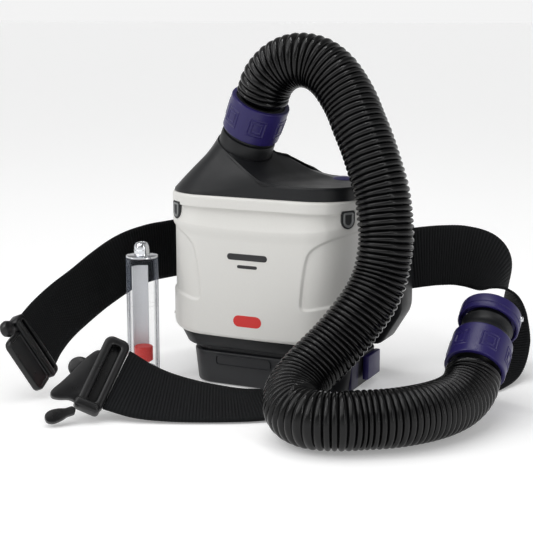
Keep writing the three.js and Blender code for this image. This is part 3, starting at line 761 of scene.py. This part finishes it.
clip_body(-1, "clip_face_left", "clip_left", "cover_clip_left")
clip_body(1, "clip_face_right", "clip_right", "cover_clip_right")
for side, name in ((-1, "clip_pocket_left"), (1, "clip_pocket_right")):
    liner = clip_liner(side, name)
    rim = liner.modifiers.new("rim", "SOLIDIFY")
    rim.thickness = 0.3 * MM
    rim.offset = -1

# %% [markdown]
# ## Plain print on the cover
# Two plain dark bars and a red one stand for the printing on such a cover. They are thin flat pads
# with round ends, a tenth of a millimetre proud.

# %% Print bars
COVER_FACE_Y = FRONT_Y + 0.75


def print_bar(name, material, centre, width, height):
    radius = height / 2
    points = []
    for side, start in ((1, -math.pi / 2), (-1, math.pi / 2)):
        for a in np.linspace(start, start + math.pi, 10):
            across = side * (width / 2 - radius) + radius * math.cos(a)
            points.append((across, radius * math.sin(a)))
    bm = block(points, 0, 0.35)
    put(bm, Matrix.Translation((centre[0], COVER_FACE_Y + 0.25, centre[1]))
        @ Matrix.Rotation(math.pi / 2, 4, "X"))
    finished(bm, name, "cover", material)


print_bar("print_bar_long", PRINT_DARK, (-1.5, 107), 34, 5.0)
print_bar("print_bar_short", PRINT_DARK, (-1.5, 99.5), 17, 2.6)
print_bar("print_bar_red", PRINT_RED, (-1.5, 56.5), 24, 9.0)

# %% [markdown]
# ## Rear housing and skirt
# The housing is an open shell behind the cover, and the skirt is the recessed waist above the
# battery. Both start as blocks of the plan. The housing's front is cut off with a bisecting plane,
# its open side is deleted, and the rest gets a wall.

# %% Rear housing
COVER_BACK_Y = -19


def cut_front(bm, y):
    """Removes what lies in front of y and closes the cut."""
    result = bmesh.ops.bisect_plane(
        bm, geom=list(bm.verts) + list(bm.edges) + list(bm.faces), plane_co=(0, y, 0),
        plane_no=(0, -1, 0), clear_outer=True,
    )
    cut = [g for g in result["geom_cut"] if isinstance(g, bmesh.types.BMEdge)]
    bmesh.ops.contextual_create(bm, geom=cut)


housing = block(plan_points(0), COVER_LOW + 0.3, COVER_TOP)
cut_front(housing, COVER_BACK_Y)
soften(housing, 1.6, 50)
open_side = [f for f in housing.faces if abs(f.normal.y) > 0.99 and f.calc_area() > 9000
             and f.calc_center_median().y < 0]
bmesh.ops.delete(housing, geom=open_side, context="FACES")
housing_shell = finished(housing, "housing_shell", "blower_unit", CHARCOAL,
                         ["rear_housing"])
wall = housing_shell.modifiers.new("wall", "SOLIDIFY")
wall.thickness = 2.2 * MM
wall.offset = -1

# %% Skirt
skirt = block(plan_points(6), 30.6, 41.4)
cut_front(skirt, -47)
low = [v for v in skirt.verts if v.co.z < 31]
bmesh.ops.scale(skirt, vec=(0.93, 0.95, 1), verts=low, space=Matrix.Translation((-4, -3, 0)))
bmesh.ops.recalc_face_normals(skirt, faces=skirt.faces)
soften(skirt, 1.2, 50)
finished(skirt, "skirt", "blower_unit", CHARCOAL, ["lower_skirt"])

# %% [markdown]
# ## Top housing
# The top housing is one smooth form: an upright band at its front and right, a straight slope up
# to the outlet on its left, and a saddle that runs from the outlet down to a flat deck. Where the
# saddle's floor meets the slope there is a crisp ridge. The form is a ring of columns. Each goes
# up from the plan to its point on the ridge, and then over the floor to the neck.

# %% Ridge of the top housing
DECK_TOP = 163
BAND_LOW = 153.3
DECK_INSET = 1.5
neck_axis = Vector(NECK_AXIS).normalized()
level = Vector((neck_axis.x, neck_axis.y, 0)).normalized()
down_slope = (level - neck_axis * level.dot(neck_axis)).normalized()
across_slope = neck_axis.cross(down_slope)
RIDGE_HALF = 22.6
SADDLE_EASE = 5.0
SADDLE_FALL_START = 22
SADDLE_BACK_FALL = 0.55
DECK_FALL_START = 24
DECK_BACK_FALL = 0.3


def slope_point(along, across):
    """Point of the sloping floor, in millimetres down the slope and across it."""
    return Vector(NECK_BASE) + down_slope * along + across_slope * across


def floor_height(x, y):
    """Height of the saddle and deck: the outlet's own plane, eased into the falling deck."""
    base = Vector(NECK_BASE)
    plane = base.z - ((x - base.x) * neck_axis.x + (y - base.y) * neck_axis.y) / neck_axis.z
    plane -= SADDLE_BACK_FALL * max(0, y - base.y - SADDLE_FALL_START)
    gap = plane - DECK_TOP
    deck = DECK_TOP - DECK_BACK_FALL * max(0, y - DECK_FALL_START)
    return deck + (gap + math.sqrt(gap * gap + SADDLE_EASE * SADDLE_EASE)) / 2


# %% Columns of the top housing
SLOPE_END = -46
SADDLE_END = 14
BACK_START = 205.0
SADDLE_LENGTH = 49
SLOPE_BAND_TOP = 155.0
DECK_BAND_TOP = 162.2
BAND_CLIMB = 7.2
EDGE_DROP = 0.8


def on_the_floor(start, end, share):
    """The point a share of the way from start to end, at the height of the saddle and deck."""
    x = start.x + (end.x - start.x) * share
    y = start.y + (end.y - start.y) * share
    point = Vector((x, y, 0))
    point.z = floor_height(point.x, point.y)
    return point


def ridge_and_neck(walk):
    """Ridge point, height of the band's top edge and neck angle for a walk along the plan."""
    if walk < SLOPE_END:
        share = (walk + HALF_WALK) / (HALF_WALK + SLOPE_END)
        turn = math.radians(90 + 180 * smooth_step(share, -0.25, 1.0))
        ridge = slope_point(RIDGE_HALF * math.cos(turn), RIDGE_HALF * math.sin(turn))
        return ridge, SLOPE_BAND_TOP, turn
    if walk < SADDLE_END:
        share = (walk - SLOPE_END) / (SADDLE_END - SLOPE_END)
        turn = math.radians(270 + 42 * share)
        band_top = SLOPE_BAND_TOP + BAND_CLIMB * smooth_step(share, 0, 1)
        return slope_point(SADDLE_LENGTH * share, -RIDGE_HALF), band_top, turn
    edge, _ = on_plan(walk, DECK_INSET + 1.3)
    if walk < BACK_START:
        share = (walk - SADDLE_END) / (BACK_START - SADDLE_END)
        near = smooth_step(walk, SADDLE_END, SADDLE_END + 8)
        ridge = on_the_floor(slope_point(SADDLE_LENGTH, -RIDGE_HALF), edge, near)
        return ridge, min(DECK_BAND_TOP, ridge.z - EDGE_DROP), math.radians(312 + 100 * share)
    share = (walk - BACK_START) / (HALF_WALK - BACK_START)
    turn = math.radians(412 + 25 * share)
    back = slope_point(60 * (1 - share), RIDGE_HALF)
    ridge = on_the_floor(edge, back, smooth_step(share, 0, 0.9))
    rim_height = floor_height(edge.x, edge.y)
    return ridge, min(DECK_BAND_TOP - 5 * share, rim_height - EDGE_DROP), turn


TOP_COLUMNS = 320
WALL_ROWS = 26
FLOOR_ROWS = 34


def top_column(walk):
    """Points of one column, from the plan's edge up to the neck."""
    ridge, band_top, turn = ridge_and_neck(walk)
    foot, out = on_plan(walk, DECK_INSET)
    points = [Vector((foot.x, foot.y, BAND_LOW)) - out * 3, Vector((foot.x, foot.y, BAND_LOW))]
    edge = Vector((foot.x, foot.y, band_top)) - out * 0.5
    for i in range(1, 6):
        points.append(points[1].lerp(edge, i / 5))
    bow = 1.2 * smooth_step(ridge.z - edge.z, 3, 20)
    for i in range(1, WALL_ROWS + 1):
        t = i / WALL_ROWS
        swell = bow * math.sin(math.pi * t)
        points.append(edge.lerp(ridge, t) + Vector((0, 0, swell)) + out * swell * 0.5)
    rim = slope_point(21.2 * math.cos(turn), 21.2 * math.sin(turn))
    gap = (rim - ridge).length
    for i in range(1, FLOOR_ROWS + 1):
        t = i / FLOOR_ROWS
        x = ridge.x + (rim.x - ridge.x) * t
        y = ridge.y + (rim.y - ridge.y) * t
        z = floor_height(x, y)
        dish = 1.5 * smooth_step(gap, 1, 14) * math.sin(math.pi * t) ** 0.7
        slope_share = smooth_step(z, DECK_TOP + 2.6, DECK_TOP + 8)
        points.append(Vector((x, y, z - dish * slope_share)))
    return points


# %% Top housing skin
top_points = [top_column((-1 + 2 * i / TOP_COLUMNS) * HALF_WALK) for i in range(TOP_COLUMNS)]
top_rows = len(top_points[0])
bm = bmesh.new()
bmesh.ops.create_grid(bm, x_segments=TOP_COLUMNS, y_segments=top_rows - 1, size=0.5)
for vert in bm.verts:
    column = round((vert.co.x + 0.5) * TOP_COLUMNS) % TOP_COLUMNS
    row = round((vert.co.y + 0.5) * (top_rows - 1))
    vert.co = top_points[column][row]
turn_out(bm)
top_shell = finished(bm, "top_shell", "blower_unit", CHARCOAL,
                     ["top_housing"], crease=50)
wall = top_shell.modifiers.new("wall", "SOLIDIFY")
wall.thickness = 1.8 * MM
wall.offset = -1

# %% [markdown]
# ## Power button
# A domed purple button in a shallow ring. Its cap is turned from a rounded outline, and a groove
# sets off the slightly raised middle.

# %% Power button
BUTTON_PLACE = Matrix.Translation((52, 8, DECK_TOP - 3.6))
cap = spun([
    (0, 0), (10.6, 0), (10.8, 0.4), (10.8, 3.4), (10.4, 4.4), (9.4, 5.0), (7.6, 5.4), (7.2, 5.2),
    (6.8, 5.5), (4, 6.1), (0, 6.4),
], 64)
put(cap, BUTTON_PLACE)
finished(cap, "button_cap", "button", PURPLE, ["power_button"], crease=30)
collar_ring = spun([(11.2, DECK_TOP - 2), (12.6, DECK_TOP - 2), (12.6, DECK_TOP + 0.5),
                    (12.2, DECK_TOP + 0.8), (11.5, DECK_TOP + 0.8), (11.2, DECK_TOP + 0.4)], 64)
put(collar_ring, Matrix.Translation((52, 8, 0)))
finished(collar_ring, "button_ring", "blower_unit", CHARCOAL)

# %% [markdown]
# ## Battery and latch
# The battery is a tray with rounded upright edges, a shallow bracket-shaped recess in its front and
# a purple spring latch at its right, beside a runner in a darker purple that is painted shade. A
# quarter circle at each corner rounds the plan.

# %% Rounded plans
def rounded(x0, x1, y0, y1, radius, steps=8):
    """Outline of a rectangle with round corners, counter-clockwise."""
    corners = ((x1 - radius, y0 + radius, -90), (x1 - radius, y1 - radius, 0),
               (x0 + radius, y1 - radius, 90), (x0 + radius, y0 + radius, 180))
    points = []
    for x, y, start in corners:
        for i in range(steps + 1):
            turn = math.radians(start + 90 * i / steps)
            points.append((x + radius * math.cos(turn), y + radius * math.sin(turn)))
    return points


# %% Battery case
BATTERY = (-60, 75, -45, 40)
case = block(rounded(*BATTERY, 20, 12), 0.2, 27)
lower = [v for v in case.verts if v.co.z < 1]
bmesh.ops.scale(case, vec=(0.965, 0.95, 1), verts=lower, space=Matrix.Translation((-7.5, 2.5, 0)))
soften(case, 1.4, 50)
finished(case, "battery_tray", "battery_pack", BATTERY_PLASTIC,
         ["battery_case"])

ledge = block(rounded(-34, 14, 0, 9, 3, 5), 0, 1.0)
top = max(ledge.faces, key=lambda f: f.calc_center_median().z)
bmesh.ops.inset_region(ledge, faces=[top], thickness=0.8, depth=0)
bmesh.ops.inset_region(ledge, faces=[top], thickness=0.4, depth=-0.8)
put(ledge, Matrix.Translation((0, BATTERY[2] + 0.4, 16)) @ Matrix.Rotation(math.pi / 2, 4, "X"))
finished(ledge, "battery_bracket", "battery_pack", BATTERY_PLASTIC)

# %% Latch
latch = block(rounded(74.4, 79.5, -3, 26, 2, 4), 6, 25)
soften(latch, 0.7, 50, 2)
finished(latch, "latch_tab", "latch", PURPLE, ["battery_latch"])
# The runner's darker purple is painted shade on the latch, not a second plastic colour.
runner = block(rounded(66, 74.6, -27, -10, 2, 4), 3, 26.5)
soften(runner, 0.7, 50, 2)
finished(runner, "latch_runner", "battery_pack", PURPLE_PAINTED_SHADE)

# %% [markdown]
# ## Belt carrier and pad
# Behind the unit a wide charcoal carrier holds the belt in two keepers, and a foam pad lies against
# the wearer's back. The carrier is a profile with cut corners, extruded to its depth.

# %% Belt carrier
CARRIER_OUTLINE = [(-78, 27), (78, 27), (95, 55), (95, 116), (85, 126), (-85, 126), (-95, 116),
                   (-95, 55)]
carrier = bmesh.new()
face = face_of(carrier, [(x, 58, z) for x, z in CARRIER_OUTLINE])
bmesh.ops.bevel(carrier, geom=list(face.verts), offset=5, segments=4, profile=0.5,
                affect="VERTICES", material=-1)
carrier.faces.ensure_lookup_table()
raise_face(carrier, carrier.faces[0], (0, -29, 0))
turn_out(carrier)
soften(carrier, 2.2, 50)
finished(carrier, "carrier_shell", "blower_unit", CHARCOAL, ["belt_carrier"])

# %% Belt keepers
def keeper(name, x, node):
    bm = block(rounded(x - 5, x + 5, 61, 126, 2, 4), 0, 5.6)
    soften(bm, 0.8, 50, 2)
    put(bm, Matrix.Translation((0, 64, 0)) @ Matrix.Rotation(math.pi / 2, 4, "X"))
    finished(bm, name, "blower_unit", CHARCOAL, [node])


keeper("keeper_left", -83, "belt_keeper_left")
keeper("keeper_right", 83, "belt_keeper_right")

# %% Back pad
pad = block(rounded(-69.5, 69.5, 45.5, 117.5, 14, 8), 0, 5.4)
top = max(pad.faces, key=lambda f: f.calc_center_median().z)
bmesh.ops.inset_region(pad, faces=[top], thickness=5, depth=0.0)
bmesh.ops.inset_region(pad, faces=[top], thickness=1.2, depth=-1.2)
bmesh.ops.inset_region(pad, faces=[top], thickness=1.2, depth=1.2)
soften(pad, 1.0, 35)
put(pad, Matrix.Translation((0, 58.5, 0)) @ Matrix.Rotation(-math.pi / 2, 4, "X")
    @ Matrix.Scale(-1, 4, (0, 1, 0)))
turn_out(pad)
back_pad = finished(pad, "foam_pad", "blower_unit", FOAM, ["back_pad"])

# %% [markdown]
# ## Waist belt
# The belt is 50 mm ribbed webbing. Every rib is modelled, because the light runs along them: a grid
# has six rows a rib, and each row is pushed out by the rib's wave. Its own UV map, in millimetres,
# lets the material add the lengthwise yarns and a lighter band along each rib, a painted highlight.

# %% Webbing finish
def webbing(name):
    recipe = Recipe(name)
    split = recipe.nodes.new("ShaderNodeSeparateXYZ")
    recipe.join(recipe.place.outputs["UV"], split.inputs["Vector"])
    yarn = recipe.sum("SINE", recipe.sum("MULTIPLY", split.outputs["X"], 2 * math.pi / 1.3), 0)
    rib = recipe.sum("SINE", recipe.sum("MULTIPLY", split.outputs["Y"], 2 * math.pi / 2.3), 0)
    fluff = recipe.noise(3200, 4, 0.7)
    # Colour is lighter along the lengthwise yarns, a woven pattern, and along each rib, a painted
    # highlight.
    yarns_and_painted_rib_highlight = recipe.spread(recipe.sum("ADD", rib, recipe.sum("MULTIPLY", yarn, 0.35)), 0, 1, -1.2, 1.2)
    recipe.colour(recipe.mix(yarns_and_painted_rib_highlight, tone(13, 14, 15), tone(25, 26, 28)))
    recipe.gloss(recipe.spread(fluff, 0.72, 0.9))
    recipe.relief(recipe.sum("ADD", recipe.sum("MULTIPLY", yarn, 0.3), fluff), 0.5, 0.0003)
    recipe.shader.inputs["Specular IOR Level"].default_value = 0.15
    return recipe.material


WEBBING = webbing("belt webbing")

# %% Ribbon maker
BELT_WIDTH = 50
RIB_PITCH = 2.3
ROWS_PER_RIB = 6
RIB_HEIGHT = 0.28
LEFT_BELT = [
    (-80, 60, 92, 0, 0, 1), (-98, 60, 91, 0, 0, 1), (-113, 50, 90, 0, 0, 1),
    (-123, 36, 89, 0, 0, 1), (-131, 18, 88, 0, 0, 1), (-140, -4, 83.5, -0.05, -0.08, 1),
    (-150, -28, 72.5, -0.1, -0.25, 0.97), (-155, -52, 62.5, -0.1, -0.33, 0.94),
    (-157.5, -76, 54, -0.15, -0.36, 0.92), (-156.8, -98, 46, -0.23, -0.4, 0.89),
    (-153.5, -117, 39, -0.32, -0.42, 0.85),
]
RIGHT_BELT = [
    (76, 60.2, 94, 0, 0, 1), (90, 60.6, 94, 0, 0, 1), (101, 68, 95, 0, 0, 1),
    (112, 80, 95, 0, 0, 1), (125, 93, 93.5, -0.03, 0.05, 1), (140, 104, 88, -0.12, 0.25, 0.95),
    (153, 110, 77, -0.3, 0.6, 0.75), (162, 110, 60, -0.5, 0.83, 0.3),
    (166, 104, 41, -0.62, 0.77, 0), (166, 92, 22, -0.78, 0.6, -0.08),
    (162, 72, 7, -0.9, 0.42, -0.02), (155, 46, 1.9, -0.92, 0.38, 0),
    (142, 14, 1.6, -0.87, 0.48, 0), (124, -18, 1.6, -0.8, 0.6, 0),
    (101, -45, 1.6, -0.7, 0.7, 0), (72, -69, 2, -0.57, 0.82, 0.02),
    (40, -87, 5.2, -0.44, 0.88, 0.12), (17, -103, 6.4, -0.44, 0.88, 0.18),
    (-8, -117, 9.2, -0.42, 0.86, 0.3), (-30, -128, 13, -0.36, 0.82, 0.44),
    (-49, -137, 18.6, -0.25, 0.74, 0.6), (-65.3, -143.4, 26, -0.12, 0.62, 0.72),
]


def belt_frames(rows, count):
    """Centres and the along, across and out vectors at even steps of a belt, and its length."""
    line, length = even(spline(rows, 30), count)
    centres = line[:, :3]
    along = np.gradient(centres, axis=0)
    along /= np.linalg.norm(along, axis=1)[:, None]
    across = line[:, 3:] - along * (line[:, 3:] * along).sum(1)[:, None]
    across /= np.linalg.norm(across, axis=1)[:, None]
    return centres, along, across, np.cross(along, across), length


def ribbon(name, rows, node):
    _, _, _, _, length = belt_frames(rows, 200)
    ribs = round(length / RIB_PITCH)
    count = ribs * ROWS_PER_RIB + 1
    centres, _, across, out, length = belt_frames(rows, count)
    bm = bmesh.new()
    uv_layer = bm.loops.layers.uv.new("webbing")
    bmesh.ops.create_grid(bm, x_segments=14, y_segments=count - 1, size=0.5)
    for face in bm.faces:
        for loop in face.loops:
            across_share, along_share = loop.vert.co.x + 0.5, loop.vert.co.y + 0.5
            loop[uv_layer].uv = (across_share * BELT_WIDTH, along_share * length)
    for vert in bm.verts:
        row = round((vert.co.y + 0.5) * (count - 1))
        wave = RIB_HEIGHT * math.cos(2 * math.pi * row / ROWS_PER_RIB)
        wave *= smooth_step(0.5 - abs(vert.co.x), 0.0, 0.04)
        place = centres[row] + across[row] * vert.co.x * BELT_WIDTH + out[row] * wave
        vert.co = Vector(place)
    belt = finished(bm, name, "blower_unit", WEBBING, [node], crease=80)
    body = belt.modifiers.new("thickness", "SOLIDIFY")
    body.thickness = 1.9 * MM
    body.offset = 0
    print(f"{name}: {length:.0f} mm of webbing")


# %% Both belts
ribbon("webbing_left", LEFT_BELT, "belt_left")
ribbon("webbing_right", RIGHT_BELT, "belt_right")

# %% [markdown]
# ## Buckles
# The buckle halves sit on the belt's ends, so each is modelled flat in the belt's own frame: x past
# the end, y to the upper edge, z out of its face. A slotted frame is an outline with a hole, made
# by joining two outlines of as many points each, ring by ring. A thin backing plate lies in each
# buckle half.

# %% Frame at a belt's end
def belt_end(rows):
    centres, along, across, out, _ = belt_frames(rows, 2000)
    place = Matrix.Identity(4)
    for i, axis in enumerate((along[-1], across[-1], out[-1])):
        place.col[i] = (*axis, 0)
    place.col[3] = (*centres[-1], 1)
    return place


def plate(outline, half, edge):
    """A flat plate about z 0 with rounded edges."""
    bm = block(outline, -half, half)
    soften(bm, edge, 50, 3)
    return bm


def slotted(outer, hole, half, edge):
    """A flat frame: an outline with a slot through it."""
    bm = bmesh.new()
    rings = [[bm.verts.new((x, y, z)) for x, y in points]
             for points, z in ((outer, -half), (outer, half), (hole, half), (hole, -half))]
    for a, b in zip(rings, rings[1:] + rings[:1]):
        for i in range(len(a)):
            bm.faces.new((a[i - 1], a[i], b[i], b[i - 1]))
    turn_out(bm)
    soften(bm, edge, 50, 3)
    return bm


# %% Left buckle
LEFT_END = belt_end(LEFT_BELT)


def left_piece(bm, name, stands_for=(), body="blower_unit"):
    put(bm, LEFT_END)
    finished(bm, name, body, BUCKLE_PLASTIC, stands_for)


left_piece(slotted(rounded(0.5, 14, -28, 28, 4, 5), rounded(3.6, 6.6, -24, 24, 1.4, 5), 4.5, 1.1),
           "left_bar", ["left_buckle"])
left_piece(plate(rounded(8, 11.2, -26, 26, 1.5, 5), 5.2, 0.9), "left_bar_rib")
backing = plate(rounded(2, 9, -26, 26, 2, 5), 0.8, 0.3)
put(backing, Matrix.Translation((0, 0, 3)))
left_piece(backing, "left_backing")
socket_plate = plate(rounded(12.6, 33, -26.5, 20.2, 5, 6), 2.8, 1.0)
for way in (1, -1):
    flat = max(socket_plate.faces, key=lambda f: way * f.calc_center_median().z)
    bmesh.ops.inset_region(socket_plate, faces=[flat], thickness=1.5, depth=0)
    bmesh.ops.inset_region(socket_plate, faces=[flat], thickness=0.6, depth=-0.9)
left_piece(socket_plate, "left_socket")
knob = spun([(0, -4.6), (3.4, -4.2), (5.6, -2.8), (6.5, 0), (5.6, 2.8), (3.4, 4.2), (0, 4.6)], 36)
put(knob, Matrix.Translation((21.2, 27.2, 0)))
left_piece(knob, "left_release", ["left_buckle_release"], "buckle_release")

# %% Right buckle
RIGHT_END = belt_end(RIGHT_BELT)


def right_piece(bm, name, stands_for=(), body="blower_unit"):
    put(bm, RIGHT_END)
    finished(bm, name, body, BUCKLE_PLASTIC, stands_for)


right_piece(slotted(rounded(0.5, 20, -30, 30, 6, 6), rounded(6.5, 13, -24, 24, 2.4, 6), 4.2, 1.8),
            "right_frame", ["right_buckle"])
backing = plate(rounded(3, 18, -27, 27, 3, 5), 0.8, 0.3)
put(backing, Matrix.Translation((0, 0, 3)))
right_piece(backing, "right_backing")
right_piece(plate(rounded(1.5, 21, -31.8, -24.5, 3, 5), 6, 2.2), "right_heel")
TONGUE = [
    (17, 16), (22, 14.5), (26, 8), (29, 0), (32.5, -11), (35.5, -19), (38.5, -26), (39.2, -30),
    (36.5, -32.3), (31, -31), (25, -28.4), (17, -27.5), (15, -15), (15, 8),
]
tongue_outline = [tuple(row) for row in spline([*TONGUE, TONGUE[0]], 5)[:-1]]
right_piece(plate(tongue_outline, 3.2, 1.2), "right_tongue")
lobe = spun([(0, -3), (6, -2.8), (8, -1.6), (8.6, 0), (8, 1.6), (6, 2.8), (0, 3)], 36)
put(lobe, Matrix.Translation((28.5, -1, 3.4)))
right_piece(lobe, "right_lobe")
LEVER = [
    (-2, 0), (0, -2.8), (5, -3), (10, -4.4), (16, -4.8), (20, -3), (21, 0), (20, 3), (16, 4.8),
    (10, 4.4), (5, 3), (0, 2.8),
]
lever_outline = [tuple(row) for row in spline([*LEVER, LEVER[0]], 5)[:-1]]
lever = plate(lever_outline, 2.6, 1.2)
put(lever, Matrix.Translation((19, -35.2, 0)) @ Matrix.Rotation(-0.75, 4, "Z"))
right_piece(lever, "right_lever", ["right_buckle_lever"], "buckle_lever")

# %% [markdown]
# ## Airflow indicator
# The indicator is a clear tube on a clear foot, with a white strip inside, a red float and a
# chromed cap. Each round part is turned from an outline that holds its wall, and the strip is a
# thin section spun through a quarter turn behind the float.

# %% Airflow indicator
INDICATOR_PLACE = Matrix.Translation((-91, -60, 0))
indicator_parts = [
    ("indicator_foot", [(0, 0.2), (12.2, 0.2), (12.8, 0.8), (12.8, 5.6), (12.4, 6), (9.8, 6),
                        (9.6, 6.4), (9.6, 11.6), (9.2, 12), (0, 12)],
     CLEAR_PLASTIC, "clear_plastic", "indicator_base", "indicator"),
    ("indicator_glass", [(11.2, 6.4), (12.4, 6.4), (12.8, 6.9), (12.8, 62), (12.5, 62.4),
                         (12.5, 63.4), (12.8, 63.8), (12.8, 100.4), (12.4, 100.9), (11.2, 100.9)],
     CLEAR_PLASTIC, "clear_plastic", "indicator_tube", "indicator"),
    ("indicator_dome", [(0, 101.3), (12.2, 101.3), (12.8, 101.9), (12.6, 103), (11.4, 103.6),
                        (6.8, 103.8), (6.3, 104.4), (6.3, 107.4), (6, 107.8), (6, 109.6),
                        (5.5, 111.4), (4.3, 112.9), (2.7, 113.5), (2.3, 112), (0, 111.8)],
     CHROME, "chrome", "indicator_cap", "indicator"),
    ("indicator_bobbin", [(0, 16), (5, 16), (7.4, 17.6), (7.4, 28.2), (6.6, 29), (0, 29)],
     RED_PLASTIC, "red_plastic", "indicator_float", "float"),
]
for name, outline, material, slot, node, body in indicator_parts:
    bm = spun(outline, 64)
    put(bm, INDICATOR_PLACE)
    finished(bm, name, body, material, [node], crease=30)

# %% Scale strip behind the float
scale_strip = bmesh.new()
STRIP_SECTION = [(8.8, 13), (9.6, 13), (9.6, 93), (8.8, 93)]
section = scale_strip.faces.new([scale_strip.verts.new((r, 0, h)) for r, h in STRIP_SECTION])
bmesh.ops.spin(
    scale_strip, geom=[section], axis=(0, 0, 1), cent=(0, 0, 0), angle=math.radians(90), steps=18,
)
turn_out(scale_strip)
put(scale_strip, INDICATOR_PLACE @ Matrix.Rotation(math.radians(92), 4, "Z"))
finished(scale_strip, "indicator_strip", "indicator", SCALE_WHITE,
         ["indicator_scale"], crease=30)

# %% [markdown]
# ## Inside the unit
# The filter, fan, boards and cells keep their solids, and only get finishes: they show when the
# cover or the battery comes off.

# %% Finishes of the inner parts
INNER = {
    "filter_frame": CHARCOAL, "filter_media": FILTER_PAPER, "filter_seal": SEAL_RUBBER,
    "fan_case": CHARCOAL, "fan_inlet_plate": CHARCOAL, "fan_motor": STEEL, "motor_shaft": STEEL,
    "impeller": CLIP_GREY, "control_board": CIRCUIT_BOARD, "alarm_buzzer": SEAL_RUBBER,
    "unit_contacts": STEEL, "power_switch": SEAL_RUBBER, "battery_board": CIRCUIT_BOARD,
    "battery_contacts": STEEL, "battery_lid": BATTERY_PLASTIC, "hose_cuff_top": SEAL_RUBBER,
    "battery_cell_1": STEEL, "battery_cell_2": STEEL, "battery_cell_3": STEEL,
    "battery_cell_4": STEEL,
}
for node, material in INNER.items():
    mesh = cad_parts[node].data
    mesh.materials.clear()
    mesh.materials.append(material)
still_plain = [n for n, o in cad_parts.items() if n not in INNER and not o.hide_render]
print("inner parts finished:", len(INNER), "left plain:", still_plain)

# %% [markdown]
# ## Floor and light
# The floor is a very wide pale sheet, so it fills the view up to the horizon, and a faint glow of
# its own keeps it paler than the unit. A broad sun from the upper left gives it the same brightness
# everywhere and soft shadows. The sky is pale at the horizon and darker above, and three narrow
# softboxes draw the long lights on the hose.

# %% Floor
FLOOR = moulded("pale floor", tone(240, 240, 240), 0.6, grain=400, strength=0.02, variation=0.003,
                specular=0.1)
glow = FLOOR.node_tree.nodes["Principled BSDF"].inputs
glow["Emission Color"].default_value = (1, 1, 1, 1)
glow["Emission Strength"].default_value = 0.24
bm = bmesh.new()
bmesh.ops.create_grid(bm, x_segments=8, y_segments=8, size=40)
bmesh.ops.translate(bm, verts=bm.verts, vec=(0, 0, -0.0005))
mesh = bpy.data.meshes.new("floor")
bm.to_mesh(mesh)
bm.free()
mesh.materials.append(FLOOR)
floor = bpy.data.objects.new("floor", mesh)
bpy.context.scene.collection.objects.link(floor)

# %% Sky
world = bpy.context.scene.world or bpy.data.worlds.new("studio")
bpy.context.scene.world = world
world.use_nodes = True
sky_nodes, sky_links = world.node_tree.nodes, world.node_tree.links
direction = sky_nodes.new("ShaderNodeTexCoord")
split = sky_nodes.new("ShaderNodeSeparateXYZ")
climb = sky_nodes.new("ShaderNodeMapRange")
climb.inputs["From Min"].default_value = 0.05
climb.inputs["From Max"].default_value = 0.5
climb.inputs["To Min"].default_value = 0.9
climb.inputs["To Max"].default_value = 0.22
sky_links.new(direction.outputs["Generated"], split.inputs["Vector"])
sky_links.new(split.outputs["Z"], climb.inputs["Value"])
sky_links.new(climb.outputs["Result"], sky_nodes["Background"].inputs["Strength"])
sky_nodes["Background"].inputs["Color"].default_value = (1, 1, 1, 1)


# %% Lights
def aimed(light, place, target):
    light.location = place
    light.rotation_euler = (Vector(target) - Vector(place)).to_track_quat("-Z", "Y").to_euler()
    bpy.context.scene.collection.objects.link(light)


def softbox(name, place, target, width, height, power):
    data = bpy.data.lights.new(name, "AREA")
    data.shape = "RECTANGLE"
    data.size = width
    data.size_y = height
    data.energy = power
    aimed(bpy.data.objects.new(name, data), place, target)


sun = bpy.data.lights.new("broad sun", "SUN")
sun.energy = 1.6
sun.angle = math.radians(70)
aimed(bpy.data.objects.new("broad sun", sun), (-0.8, -0.9, 2.2), (0, 0, 0))
softbox("left strip", (-0.9, -0.9, 0.9), (0.05, 0, 0.12), 0.05, 1.4, 3)
softbox("right strip", (1.3, -0.7, 0.8), (0.05, 0, 0.12), 0.04, 1.4, 3)
softbox("overhead", (0.1, 0.1, 1.5), (0.05, 0, 0.1), 1.2, 0.05, 3)
